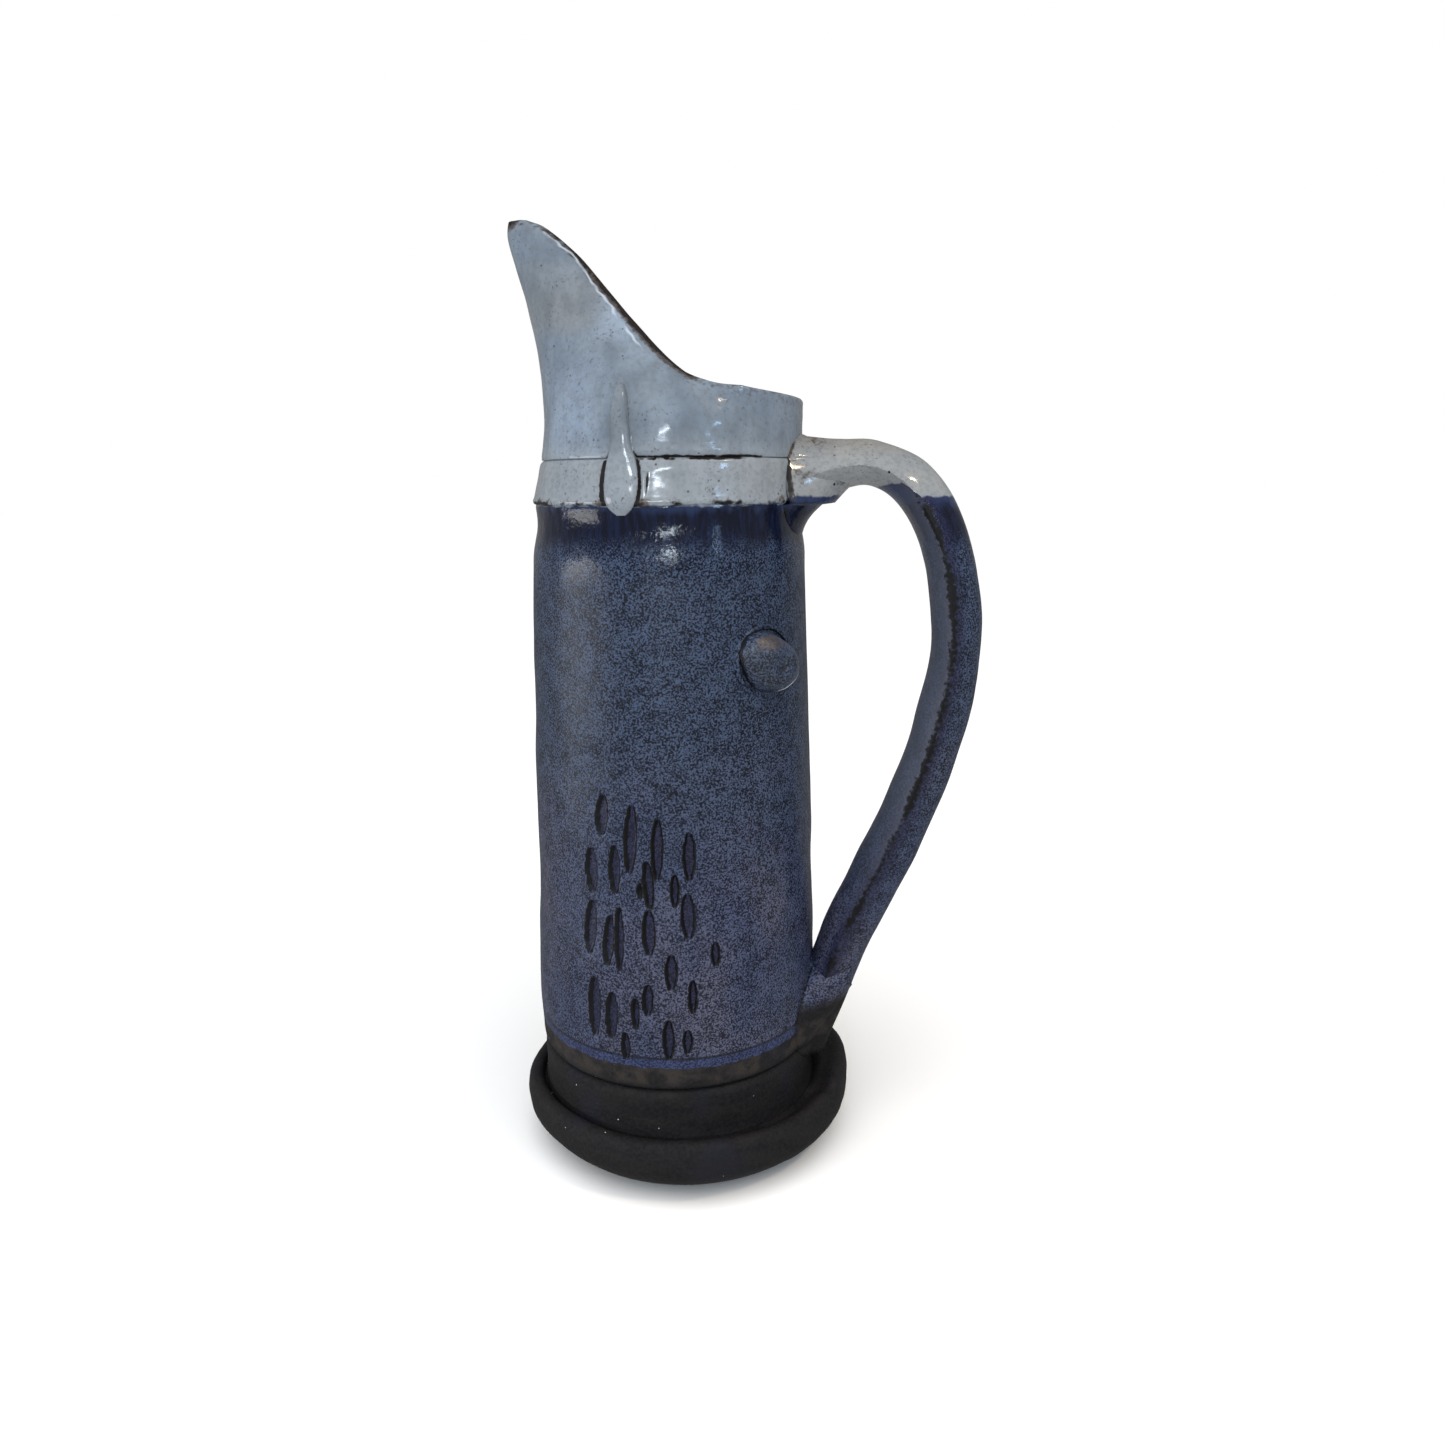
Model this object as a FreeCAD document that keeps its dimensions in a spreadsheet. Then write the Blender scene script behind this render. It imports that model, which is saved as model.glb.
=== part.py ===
import FreeCAD, Part
import os
import re
import Sketcher

# Slab-built stoneware pitcher with a saucer foot, a lapped collar, a tall beak spout and a
# strap handle. Millimetres and degrees. +Z is up, and the origin is the middle of the tube
# on the table. The spout points to -X and the handle stands on the +X side.
# Every piece of clay is its own solid, and pieces that are luted together meet face to face.

SIZES = {
    # wall tube
    "body_radius": 47.8,
    "belly_inset": 1.0,
    "shoulder_inset": 4.7,
    "body_height": 182.0,
    "belly_height": 87.0,
    "shoulder_drop": 6.5,
    "shoulder_ease": 0.3,
    "wall": 5.4,
    "neck_step": 2.6,
    "lap": 5.0,
    # saucer foot and foot band
    "floor": 7.0,
    "band_height": 29.6,
    "band_out": 0.4,
    "band_waist": 1.1,
    "waist_bulge": 0.5,
    "waist_rise": 7.0,
    "band_seat": 10.5,
    "band_wall": 5.6,
    "saucer_shift": 3.3,
    "foot_inset": 6.0,
    "flare_reach": 9.4,
    "flare_height": 15.0,
    "flare_hollow": 3.2,
    "flare_drop": 1.0,
    "saucer_rim": 23.6,
    "rim_thickness": 5.6,
    "rim_round": 1.4,
    "rim_inset": 1.6,
    "dish_run": 3.0,
    "dish_depth": 6.0,
    "coil_radius": 6.0,
    "coil_hollow": 0.293,
    # collar
    "collar_out": 0.5,
    "collar_taper": 2.6,
    "collar_height": 14.0,
    "upper_shift": 1.5,
    "skirt_out": 0.8,
    "skirt_wall": 5.2,
    "spout_wall": 4.0,
    "spout_lap": 5.5,
    "tongue_ease": 0.3,
    # curved cut that leaves the back rim low and the beak high
    "back_rim": 16.1,
    "rim_dip": 19.0,
    "rim_dip_x": 22.0,
    "rim_bend": 23.8,
    "rim_bend_x": 8.0,
    "rim_climb": 34.5,
    "rim_climb_x": 3.8,
    "beak_rise": 62.0,
    "beak_rise_x": 26.6,
    "beak_round": 67.0,
    "beak_round_x": 32.4,
    "beak_top": 70.4,
    "beak_top_x": 40.0,
    "tip_run": 1.0,
    "cutter_margin": 40.0,
    # strap handle
    "handle_turn": 12.0,
    "handle_foot": 4.6,
    "handle_root": 4.5,
    # coils of clay luted round the two ends of the handle
    "root_coil_rise": 12.5,
    "root_coil_width": 33.0,
    "root_coil_height": 24.0,
    "root_coil_depth": 16.0,
    "foot_coil_rise": 14.6,
    "foot_coil_width": 36.0,
    "foot_coil_height": 51.5,
    "foot_coil_depth": 17.0,
    "coil_sink": 1.5,
    # strap over the lap joint
    "strap_turn": 109.0,
    # pellet and its pressed seat
    "boss_turn": 49.0,
    "boss_height": 134.0,
    "boss_width": 20.5,
    "boss_tall": 18.0,
    "boss_depth": 18.0,
    "boss_tilt": 25.0,
    "boss_sink": 1.5,
    "seat_margin": 2.6,
    "seat_depth": 6.5,
    # gouges
    "gouge_width": 4.6,
    "gouge_depth": 1.3,
    "gouge_taper": 1.3,
    "gouge_least": 0.2,
}

# Spout sections from the seam upwards: rise over the seam, forward lean of the front wall,
# taper of the half depth, and how much narrower the half width is than the half depth.
SPOUT = [
    (0.0, 0.0, 0.0, 0.0),
    (13.5, -1.5, 1.0, 0.8),
    (22.5, -1.2, 1.7, 4.4),
    (31.5, -0.3, 3.8, 9.8),
    (42.5, 1.8, 10.0, 10.6),
    (53.5, 3.9, 16.3, 9.8),
    (64.5, 6.9, 24.0, 7.6),
    (73.0, 8.9, 31.5, 3.4),
]

# Handle sections from the foot to the root: stand-off of the middle from the tube's radius,
# share of the handle's span, thickness and width of the strap.
HANDLE = [
    (-3.3, 0.00, 16.0, 20.0),
    (10.8, 0.204, 17.2, 20.5),
    (21.0, 0.321, 17.6, 20.5),
    (32.1, 0.454, 17.1, 21.0),
    (40.9, 0.597, 16.8, 21.5),
    (44.8, 0.724, 16.0, 22.0),
    (42.9, 0.837, 15.6, 22.5),
    (37.7, 0.921, 15.2, 23.5),
    (29.5, 0.982, 14.8, 24.5),
    (18.6, 1.012, 13.6, 25.5),
    (8.0, 1.013, 15.6, 26.5),
    (-5.0, 1.000, 24.0, 28.0),
]

# Strap sections from its round end upwards: rise over the collar's foot, stand-off of the
# middle from the skirt's radius, half thickness and half width.
STRAP = [
    (-2.4, 0.6, 1.0, 1.6),
    (0.6, 0.8, 3.2, 4.8),
    (7.0, -0.4, 3.4, 5.6),
    (14.0, -0.9, 3.0, 4.4),
    (20.0, -1.2, 2.6, 3.2),
    (27.0, -1.9, 2.2, 2.5),
    (35.0, -4.4, 1.1, 1.4),
]

# Gouges in the wall: angle around the tube, height over the band and length of each.
GOUGES = [
    (118.9, 90.2, 13.5),
    (107.1, 83.3, 23.1),
    (96.9, 80.4, 20.8),
    (84.9, 78.0, 16.1),
    (124.3, 71.9, 15.1),
    (114.0, 73.2, 16.4),
    (100.6, 69.0, 16.0),
    (90.6, 67.2, 11.2),
    (125.0, 53.2, 18.5),
    (116.8, 50.0, 17.4),
    (111.8, 50.8, 19.0),
    (100.6, 53.7, 15.1),
    (85.7, 58.9, 14.9),
    (75.5, 46.0, 8.3),
    (92.5, 41.0, 12.0),
    (123.8, 26.6, 22.0),
    (116.3, 24.8, 17.0),
    (106.5, 26.6, 11.3),
    (101.2, 31.6, 11.2),
    (84.6, 32.6, 11.4),
    (94.0, 18.1, 14.4),
    (86.9, 17.5, 8.6),
    (110.9, 14.9, 10.1),
]

STATIONS = {
    "spout": (SPOUT, ("rise", "lean", "taper", "pinch")),
    "handle": (HANDLE, ("reach", "share", "thick", "wide")),
    "strap": (STRAP, ("rise", "reach", "thick", "wide")),
    "gouge": (GOUGES, ("turn", "rise", "length")),
}
for piece, (rows, columns) in STATIONS.items():
    for number, row in enumerate(rows):
        for column, figure in zip(columns, row):
            SIZES[f"{piece}_{column}_{number}"] = figure

# Heights and radii that follow from the sizes.
RULES = {
    "LEDGE": "(floor + band_height)",
    "NECK": "(floor + band_height + body_height)",
    "SEAM": "(floor + band_height + body_height + collar_height)",
    "SHOULDER_RADIUS": "(body_radius - shoulder_inset)",
    "COLLAR_RADIUS": "(body_radius - shoulder_inset + collar_out)",
    "COLLAR_TOP": "(body_radius - shoulder_inset + collar_out - collar_taper)",
    "SKIRT": "(body_radius - shoulder_inset + collar_out - collar_taper + skirt_out)",
    "TONGUE": "(body_radius - shoulder_inset + collar_out - collar_taper - skirt_wall / 2 + tongue_ease)",
    "BAND": "(body_radius + band_out)",
}

doc = FreeCAD.newDocument("pitcher")
sheet = doc.addObject("Spreadsheet::Sheet", "Sizes")
for line, (alias, figure) in enumerate(SIZES.items(), start=1):
    sheet.set(f"A{line}", alias)
    sheet.set(f"B{line}", str(figure))
    sheet.setAlias(f"B{line}", alias)
doc.recompute()


def cells(rule):
    """A rule over size names, pointed at the sheet's cells."""
    rule = str(rule)
    for name, meaning in RULES.items():
        rule = re.sub(rf"\b{name}\b", meaning, rule)
    return re.sub(r"\b[a-z]\w*", lambda word: "Sizes." + word[0] if word[0] in SIZES else word[0], rule)


def figure_of(rule):
    """The present value of a rule."""
    return float(doc.getObject("Sizes").evalExpression(cells(rule).replace("Sizes.", "")))


def bind(thing, **rules):
    """Tie properties of an object to rules; two underscores stand for a dot."""
    for name, rule in rules.items():
        thing.setExpression(name.replace("__", "."), cells(rule))
    return thing


def labelled(thing, label):
    thing.Label = label
    return thing


def plane_of(body, role):
    return next(feature for feature in body.Origin.OriginFeatures if feature.Role == role)


def pin_point(sketch, geometry, end, x_rule, y_rule):
    """Fix one sketch point at two rules; a plain 0 puts it on the axis."""
    origin = (-1, 1)
    for kind, axis, rule in (("DistanceX", -2, x_rule), ("DistanceY", -1, y_rule)):
        if rule == "0":
            sketch.addConstraint(Sketcher.Constraint("PointOnObject", geometry, end, axis))
            continue
        limit = Sketcher.Constraint(kind, *origin, geometry, end, figure_of(rule))
        bind(sketch, **{f"Constraints[{sketch.addConstraint(limit)}]": rule})


def outline_sketch(body, name, role, points):
    """Closed outline of corners (x, y); ("via", x, y) between two corners makes an arc."""
    sketch = body.newObject("Sketcher::SketchObject", name)
    sketch.AttachmentSupport = (plane_of(body, role), [""])
    sketch.MapMode = "FlatFace"
    corners = [point for point in points if point[0] != "via"]
    spots = [FreeCAD.Vector(figure_of(x), figure_of(y), 0) for x, y in corners]
    ends = []
    for number, corner in enumerate(corners):
        start, stop = spots[number], spots[(number + 1) % len(spots)]
        after = points[(points.index(corner) + 1) % len(points)]
        if after[0] == "via":
            middle = FreeCAD.Vector(figure_of(after[1]), figure_of(after[2]), 0)
            edge = sketch.addGeometry(Part.Arc(start, middle, stop), False)
            mark = sketch.addGeometry(Part.Point(middle), True)
            pin_point(sketch, mark, 1, after[1], after[2])
            sketch.addConstraint(Sketcher.Constraint("PointOnObject", mark, 1, edge))
            forward = (sketch.getPoint(edge, 1) - start).Length < (sketch.getPoint(edge, 2) - start).Length
        else:
            edge = sketch.addGeometry(Part.LineSegment(start, stop), False)
            forward = True
        ends.append((edge, 1, 2) if forward else (edge, 2, 1))
    for number, (edge, first, last) in enumerate(ends):
        following, entry, _ = ends[(number + 1) % len(ends)]
        sketch.addConstraint(Sketcher.Constraint("Coincident", edge, last, following, entry))
        pin_point(sketch, edge, first, *corners[number])
    doc.recompute()
    return sketch


def revolved(name, points):
    """A body turned about Z from an outline in the XZ plane."""
    body = doc.addObject("PartDesign::Body", name)
    sketch = outline_sketch(body, f"{name}_outline", "XZ_Plane", points)
    turn = body.newObject("PartDesign::Revolution", f"{name}_turned")
    turn.Profile = sketch
    turn.ReferenceAxis = (sketch, ["V_Axis"])
    turn.Angle = 360
    doc.recompute()
    return body


def ellipse_stack(name, sections):
    """A smooth loft through level ellipses; each is (x, z, half length, half width)."""
    rings = []
    for number, (x, z, long_half, short_half) in enumerate(sections):
        ring = doc.addObject("Part::Ellipse", f"{name}_section_{number}")
        ring.MajorRadius = figure_of(long_half)
        ring.MinorRadius = figure_of(short_half)
        bind(ring, MajorRadius=long_half, MinorRadius=short_half, Placement__Base__x=x, Placement__Base__z=z)
        rings.append(ring)
    loft = doc.addObject("Part::Loft", name)
    loft.Sections = rings
    loft.Solid = True
    doc.recompute()
    return loft


def cylinder(name, radius, foot, height, x="0"):
    solid = doc.addObject("Part::Cylinder", name)
    return bind(solid, Radius=radius, Height=height, Placement__Base__x=x, Placement__Base__z=foot)


def less(name, blank, tools):
    """The blank with each tool taken away."""
    for number, tool in enumerate(tools):
        cut = doc.addObject("Part::Cut", f"{name}_{number}")
        cut.Base = blank
        cut.Tool = tool
        blank = cut
    doc.recompute()
    return blank


def joined(name, solids):
    fused = doc.addObject("Part::MultiFuse", name)
    fused.Shapes = solids
    doc.recompute()
    return fused


def base_slab():
    """Saucer pressed up around the band: flat foot, flared side, rounded rim."""
    rim_out = "BAND + flare_reach - rim_inset"
    body = revolved("base_slab", [
        ("0", "0"),
        ("BAND - foot_inset", "0"),
        ("via", "BAND + flare_reach - flare_hollow", "flare_height / 2 - flare_drop"),
        ("BAND + flare_reach", "flare_height"),
        (rim_out, "saucer_rim - rim_round"),
        ("via", rim_out + " - rim_thickness / 2", "saucer_rim"),
        (rim_out + " - rim_thickness", "saucer_rim - rim_round"),
        (rim_out + " - rim_thickness - dish_run", "saucer_rim - dish_depth"),
        ("0", "saucer_rim - dish_depth"),
    ])
    bind(body, Placement__Base__x="saucer_shift")
    before = body.Shape.Volume
    ring = body.newObject("Sketcher::SketchObject", "band_seat_ring")
    ring.AttachmentSupport = (plane_of(body, "XY_Plane"), [""])
    ring.MapMode = "FlatFace"
    bind(ring, AttachmentOffset__Base__z="floor")
    middle = FreeCAD.Vector(-figure_of("saucer_shift"), 0, 0)
    circle = ring.addGeometry(Part.Circle(middle, FreeCAD.Vector(0, 0, 1), figure_of("BAND")), False)
    pin_point(ring, circle, 3, "-saucer_shift", "0")
    radius = ring.addConstraint(Sketcher.Constraint("Radius", circle, figure_of("BAND")))
    bind(ring, **{f"Constraints[{radius}]": "BAND"})
    seat = body.newObject("PartDesign::Pocket", "band_seat")
    seat.Profile = ring
    seat.Type = "ThroughAll"
    seat.Reversed = True
    doc.recompute()
    if body.Shape.Volume >= before:
        raise ValueError("the band's seat was not cut")
    return labelled(body, "base_slab")


def foot_band():
    """Ring of slab standing in the saucer; the tube stands on its ledge."""
    return labelled(revolved("foot_band", [
        ("BAND - band_wall", "floor"),
        ("BAND", "floor"),
        ("BAND", "floor + band_seat"),
        ("via", "body_radius - band_waist + waist_bulge", "floor + band_seat + waist_rise"),
        ("body_radius - band_waist", "LEDGE"),
        ("BAND - band_wall", "LEDGE"),
    ]), "foot_band")


def inner_coil():
    """Coil smeared into the corner between the floor and the band."""
    inner = "BAND - band_wall"
    return labelled(revolved("inner_coil", [
        (inner + " - coil_radius", "floor"),
        (inner, "floor"),
        (inner, "floor + coil_radius"),
        ("via", inner + " - coil_radius * coil_hollow", "floor + coil_radius * coil_hollow"),
    ]), "inner_coil")


def wall_outline(inner_points):
    """Outer side of the tube from the ledge to the neck, closed by the given points."""
    return [
        ("body_radius", "LEDGE"),
        ("via", "body_radius - belly_inset", "LEDGE + belly_height"),
        ("SHOULDER_RADIUS", "NECK - shoulder_drop"),
        ("SHOULDER_RADIUS - shoulder_ease", "NECK"),
    ] + inner_points


def gouge(number):
    """Round cutting wheel set across the wall, so that it leaves a lens-shaped gouge."""
    turn, rise, length = (f"gouge_{column}_{number}" for column in ("turn", "rise", "length"))
    groove = "(gouge_width ^ 2 / 8 / gouge_depth + gouge_depth / 2)"
    wheel = f"({length} ^ 2 / 8 / gouge_depth + gouge_depth / 2)"
    share = f"({rise} - belly_height) / belly_height"
    surface = f"(body_radius - belly_inset - {share} * gouge_taper)"
    tool = doc.addObject("Part::Torus", f"gouge_{number}")
    away = f"({surface} + {wheel} - gouge_depth)"
    bind(
        tool,
        Radius1=f"max({wheel} - {groove}; gouge_least)",
        Radius2=groove,
        Placement__Base__x=f"{away} * cos({turn})",
        Placement__Base__y=f"-{away} * sin({turn})",
        Placement__Base__z=f"LEDGE + {rise}",
    )
    return tool


def body_wall():
    """Tall tapered tube with a thinned neck for the collar, gouged on its front."""
    tube = revolved("tube", wall_outline([
        ("SHOULDER_RADIUS - neck_step", "NECK"),
        ("SHOULDER_RADIUS - neck_step", "NECK + lap"),
        ("SHOULDER_RADIUS - wall", "NECK + lap"),
        ("via", "body_radius - belly_inset - wall", "LEDGE + belly_height"),
        ("body_radius - wall", "LEDGE"),
    ]))
    tools = [gouge(number) for number in range(len(GOUGES))]
    doc.recompute()
    for number, tool in enumerate(tools):
        angle = -figure_of(f"gouge_turn_{number}")
        upright = FreeCAD.Rotation(FreeCAD.Vector(1, 0, 0), 90)
        tool.Placement.Rotation = FreeCAD.Rotation(FreeCAD.Vector(0, 0, 1), angle) * upright
    gouges = joined("gouge_wheels", tools)
    return labelled(less("body_wall", tube, [gouges]), "body_wall")


def collar_band(collar_core):
    """Tapered ring lapped over the tube's neck, with a thinned tongue inside the spout."""
    tongue = cylinder("tongue", "TONGUE", "SEAM", "spout_lap", "upper_shift")
    neck_seat = cylinder("neck_seat", "SHOULDER_RADIUS - neck_step", "NECK", "lap")
    bore = ellipse_stack("collar_bore", [
        ("0", "NECK + lap", "SHOULDER_RADIUS - wall", "SHOULDER_RADIUS - wall"),
        ("upper_shift", "SEAM + spout_lap", "SKIRT - skirt_wall", "SKIRT - skirt_wall"),
    ])
    blank = joined("collar_blank", [collar_core, tongue])
    return labelled(less("collar", blank, [neck_seat, bore]), "collar_band")


def spout_stack(name, side_wall, foot_wall):
    """Loft through the spout's sections, drawn in by a wall."""
    sections = []
    for number in range(len(SPOUT)):
        wall = foot_wall if number == 0 else side_wall
        half = f"SKIRT - spout_taper_{number}"
        middle = f"upper_shift - spout_taper_{number} - spout_lean_{number}"
        sections.append((
            middle,
            f"SEAM + spout_rise_{number}",
            f"{half} - {wall}",
            f"{half} - spout_pinch_{number} - {wall}",
        ))
    return ellipse_stack(name, sections)


def rim_cutter():
    """Block over the curved line that the spout is trimmed along, seen from the side."""
    far = "(body_radius + cutter_margin)"
    body = doc.addObject("PartDesign::Body", "rim_cutter")
    sketch = outline_sketch(body, "rim_line", "XZ_Plane", [
        (far, "SEAM + back_rim"),
        ("rim_dip_x", "SEAM + rim_dip"),
        ("via", "rim_bend_x", "SEAM + rim_bend"),
        ("-rim_climb_x", "SEAM + rim_climb"),
        ("-beak_rise_x", "SEAM + beak_rise"),
        ("via", "-beak_round_x", "SEAM + beak_round"),
        ("-beak_top_x", "SEAM + beak_top"),
        ("-" + far, "SEAM + beak_top + tip_run"),
        ("-" + far, "SEAM + beak_top * 2"),
        (far, "SEAM + beak_top * 2"),
    ])
    block = body.newObject("PartDesign::Pad", "rim_block")
    block.Profile = sketch
    block.Midplane = True
    bind(block, Length=far + " * 2")
    doc.recompute()
    return body


def spout(spout_core):
    """Beak-shaped spout whose skirt laps over the collar's tongue."""
    hollow = spout_stack("spout_hollow", "spout_wall", "skirt_wall")
    tongue_seat = cylinder("tongue_seat", "TONGUE", "SEAM", "spout_lap", "upper_shift")
    return labelled(less("spout", spout_core, [hollow, tongue_seat, rim_cutter()]), "spout")


def turned(thing, angle_rule):
    """The object stood round the Z axis at an angle."""
    thing.Placement.Rotation = FreeCAD.Rotation(FreeCAD.Vector(0, 0, 1), figure_of(angle_rule))
    return bind(thing, Placement__Rotation__Angle=angle_rule)


def handle(supports):
    """Pulled strap of lens section, lofted along its bow and trimmed to the walls."""
    body = doc.addObject("PartDesign::Body", "handle_loft")
    foot, span = "(LEDGE - handle_foot)", "(SEAM - handle_root - LEDGE + handle_foot)"
    reach = [f"(body_radius + handle_reach_{number})" for number in range(len(HANDLE))]
    height = [f"({foot} + handle_share_{number} * {span})" for number in range(len(HANDLE))]
    sections = []
    for number in range(len(HANDLE)):
        before, after = max(number - 1, 0), min(number + 1, len(HANDLE) - 1)
        thick, wide = f"handle_thick_{number} / 2", f"handle_wide_{number} / 2"
        section = outline_sketch(body, f"strap_section_{number}", "XY_Plane", [
            ("0", "-" + wide),
            ("via", thick, "0"),
            ("0", wide),
            ("via", "-" + thick, "0"),
        ])
        run = f"({reach[after]} - {reach[before]})"
        climb = f"({height[after]} - {height[before]})"
        tilt = f"atan2({run}; {climb})"
        spin = FreeCAD.Rotation(FreeCAD.Vector(0, 1, 0), figure_of(tilt))
        section.AttachmentOffset = FreeCAD.Placement(FreeCAD.Vector(), spin)
        bind(section, AttachmentOffset__Base__x=reach[number], AttachmentOffset__Base__z=height[number])
        sections.append(section)
    doc.recompute()
    loft = body.newObject("PartDesign::AdditiveLoft", "strap_loft")
    loft.Profile = sections[0]
    loft.Sections = sections[1:]
    doc.recompute()
    turned(body, "-handle_turn")
    return body, labelled(less("handle", body, supports), "handle")


def ellipsoid(name, radial, across, upright, stand_off, height, angle, tilt="0"):
    """Ellipsoid on the wall at an angle; its sizes are whole widths."""
    blob = doc.addObject("Part::Ellipsoid", name)
    bind(blob, Radius1=f"({upright}) / 2", Radius2=f"({radial}) / 2", Radius3=f"({across}) / 2")
    lean = FreeCAD.Rotation(FreeCAD.Vector(1, 0, 0), figure_of(tilt))
    stand = FreeCAD.Rotation(FreeCAD.Vector(0, 0, 1), figure_of(angle))
    blob.Placement = FreeCAD.Placement(FreeCAD.Vector(), stand * lean)
    return bind(
        blob,
        Placement__Base__x=f"({stand_off}) * cos({angle})",
        Placement__Base__y=f"({stand_off}) * sin({angle})",
        Placement__Base__z=height,
    )


def joint_strap(supports):
    """Tongue of clay pressed over the lap joint, round below and drawn out above."""
    rings = []
    for number in range(len(STRAP)):
        columns = STATIONS["strap"][1]
        rise, reach, thick, wide = (f"strap_{column}_{number}" for column in columns)
        ring = doc.addObject("Part::Ellipse", f"strap_ring_{number}")
        ring.MajorRadius = figure_of(wide)
        ring.MinorRadius = figure_of(thick)
        quarter = FreeCAD.Rotation(FreeCAD.Vector(0, 0, 1), 90)
        ring.Placement = FreeCAD.Placement(FreeCAD.Vector(), quarter)
        bind(
            ring,
            MajorRadius=wide,
            MinorRadius=thick,
            Placement__Base__x=f"SKIRT + {reach}",
            Placement__Base__z=f"NECK + {rise}",
        )
        rings.append(ring)
    loft = doc.addObject("Part::Loft", "strap_blank")
    loft.Sections = rings
    loft.Solid = True
    turned(loft, "-strap_turn")
    doc.recompute()
    return labelled(less("joint_strap", loft, supports), "joint_strap")


collar_core = ellipse_stack("collar_core", [
    ("0", "NECK", "COLLAR_RADIUS", "COLLAR_RADIUS"),
    ("upper_shift", "SEAM", "COLLAR_TOP", "COLLAR_TOP"),
])
spout_core = spout_stack("spout_core", "0", "0")
tube_core = revolved("tube_core", wall_outline([("0", "NECK"), ("0", "LEDGE")]))
band_core = cylinder("band_core", "BAND", "floor", "band_height")
doc.recompute()
walls = [tube_core, band_core, collar_core, spout_core]

parts = [base_slab(), foot_band(), inner_coil(), body_wall()]
parts += [collar_band(collar_core), spout(spout_core)]
parts.append(joint_strap(walls))
handle_blank, handle_piece = handle(walls)
parts.append(handle_piece)

root_coil = ellipsoid(
    "root_coil", "root_coil_depth", "root_coil_width", "root_coil_height",
    "SKIRT + upper_shift - coil_sink", "NECK + root_coil_rise", "-handle_turn")
foot_coil = ellipsoid(
    "foot_coil", "foot_coil_depth", "foot_coil_width", "foot_coil_height",
    "body_radius - coil_sink", "LEDGE + foot_coil_rise", "-handle_turn")
parts.append(labelled(less("handle_root_coil", root_coil, walls + [handle_blank]), "handle_root_coil"))
parts.append(labelled(less("handle_foot_coil", foot_coil, walls + [handle_blank]), "handle_foot_coil"))

boss_radius = "body_radius - belly_inset - boss_sink"
boss_place = ("LEDGE + boss_height", "-boss_turn", "boss_tilt")
pellet = ellipsoid("pellet", "boss_depth", "boss_width", "boss_tall", boss_radius, *boss_place)
seat_blank = ellipsoid(
    "seat_blank", "seat_depth", "boss_width + 2 * seat_margin", "boss_tall + 2 * seat_margin",
    boss_radius, *boss_place)
parts.append(labelled(less("boss", pellet, walls), "boss"))
parts.append(labelled(less("boss_seat", seat_blank, walls + [pellet]), "boss_seat"))

doc.recompute()
for thing in doc.Objects:
    if "Invalid" in thing.State or "Error" in thing.State:
        raise ValueError(f"{thing.Name} failed: {thing.State}")
os.makedirs("parts", exist_ok=True)
for part in parts:
    shape = part.Shape
    if shape.isNull() or not shape.isValid() or not shape.Solids:
        raise ValueError(f"{part.Label} has no valid solid")
    shape.exportStep(f"parts/{part.Label}.step")
    print(f"{part.Label}: {len(shape.Solids)} solid, {shape.Volume / 1000:.2f} cm3")
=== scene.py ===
import math

import bpy
import numpy as np
from mathutils import Matrix, Vector, noise


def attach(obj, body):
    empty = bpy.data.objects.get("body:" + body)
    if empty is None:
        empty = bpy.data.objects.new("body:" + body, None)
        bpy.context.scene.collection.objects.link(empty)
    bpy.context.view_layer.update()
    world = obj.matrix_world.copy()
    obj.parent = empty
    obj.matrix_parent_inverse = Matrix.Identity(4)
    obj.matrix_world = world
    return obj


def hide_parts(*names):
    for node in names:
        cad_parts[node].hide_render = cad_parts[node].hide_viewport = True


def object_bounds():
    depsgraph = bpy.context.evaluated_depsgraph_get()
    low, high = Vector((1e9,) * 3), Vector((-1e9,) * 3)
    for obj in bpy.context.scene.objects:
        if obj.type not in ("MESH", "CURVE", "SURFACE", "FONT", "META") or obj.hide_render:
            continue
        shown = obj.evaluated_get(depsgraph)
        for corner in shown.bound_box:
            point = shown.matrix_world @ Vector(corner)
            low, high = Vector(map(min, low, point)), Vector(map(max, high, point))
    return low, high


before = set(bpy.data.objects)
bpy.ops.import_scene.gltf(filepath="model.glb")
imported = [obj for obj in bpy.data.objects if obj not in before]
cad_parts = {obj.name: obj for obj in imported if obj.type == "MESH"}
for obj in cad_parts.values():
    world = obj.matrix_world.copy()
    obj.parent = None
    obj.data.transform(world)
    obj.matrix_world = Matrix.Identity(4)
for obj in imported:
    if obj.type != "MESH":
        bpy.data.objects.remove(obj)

cad_low, cad_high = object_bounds()

# The saucer: a round slab of charcoal stoneware, pressed up around the foot of the pitcher
# by hand, so that its side flares, its rim is soft and uneven, and a groove is left inside.
# It stays bare: the glaze stops above it.
SAUCER_SIDE = [
    (0.0000, 0.0000), (0.0180, 0.0000), (0.0340, 0.0000), (0.0415, 0.0001), (0.0432, 0.0006),
    (0.0450, 0.0016), (0.0476, 0.0032), (0.0512, 0.0056), (0.0545, 0.0084), (0.0564, 0.0116),
    (0.0570, 0.0150), (0.0570, 0.0184), (0.0564, 0.0210), (0.0551, 0.0228), (0.0535, 0.0233),
    (0.0520, 0.0226), (0.0507, 0.0212), (0.0494, 0.0203), (0.0482, 0.0196), (0.0474, 0.0160),
    (0.0466, 0.0110), (0.0440, 0.0072), (0.0300, 0.0070), (0.0120, 0.0070), (0.0000, 0.0070),
]
SAUCER_SHIFT = 0.0035


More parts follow.
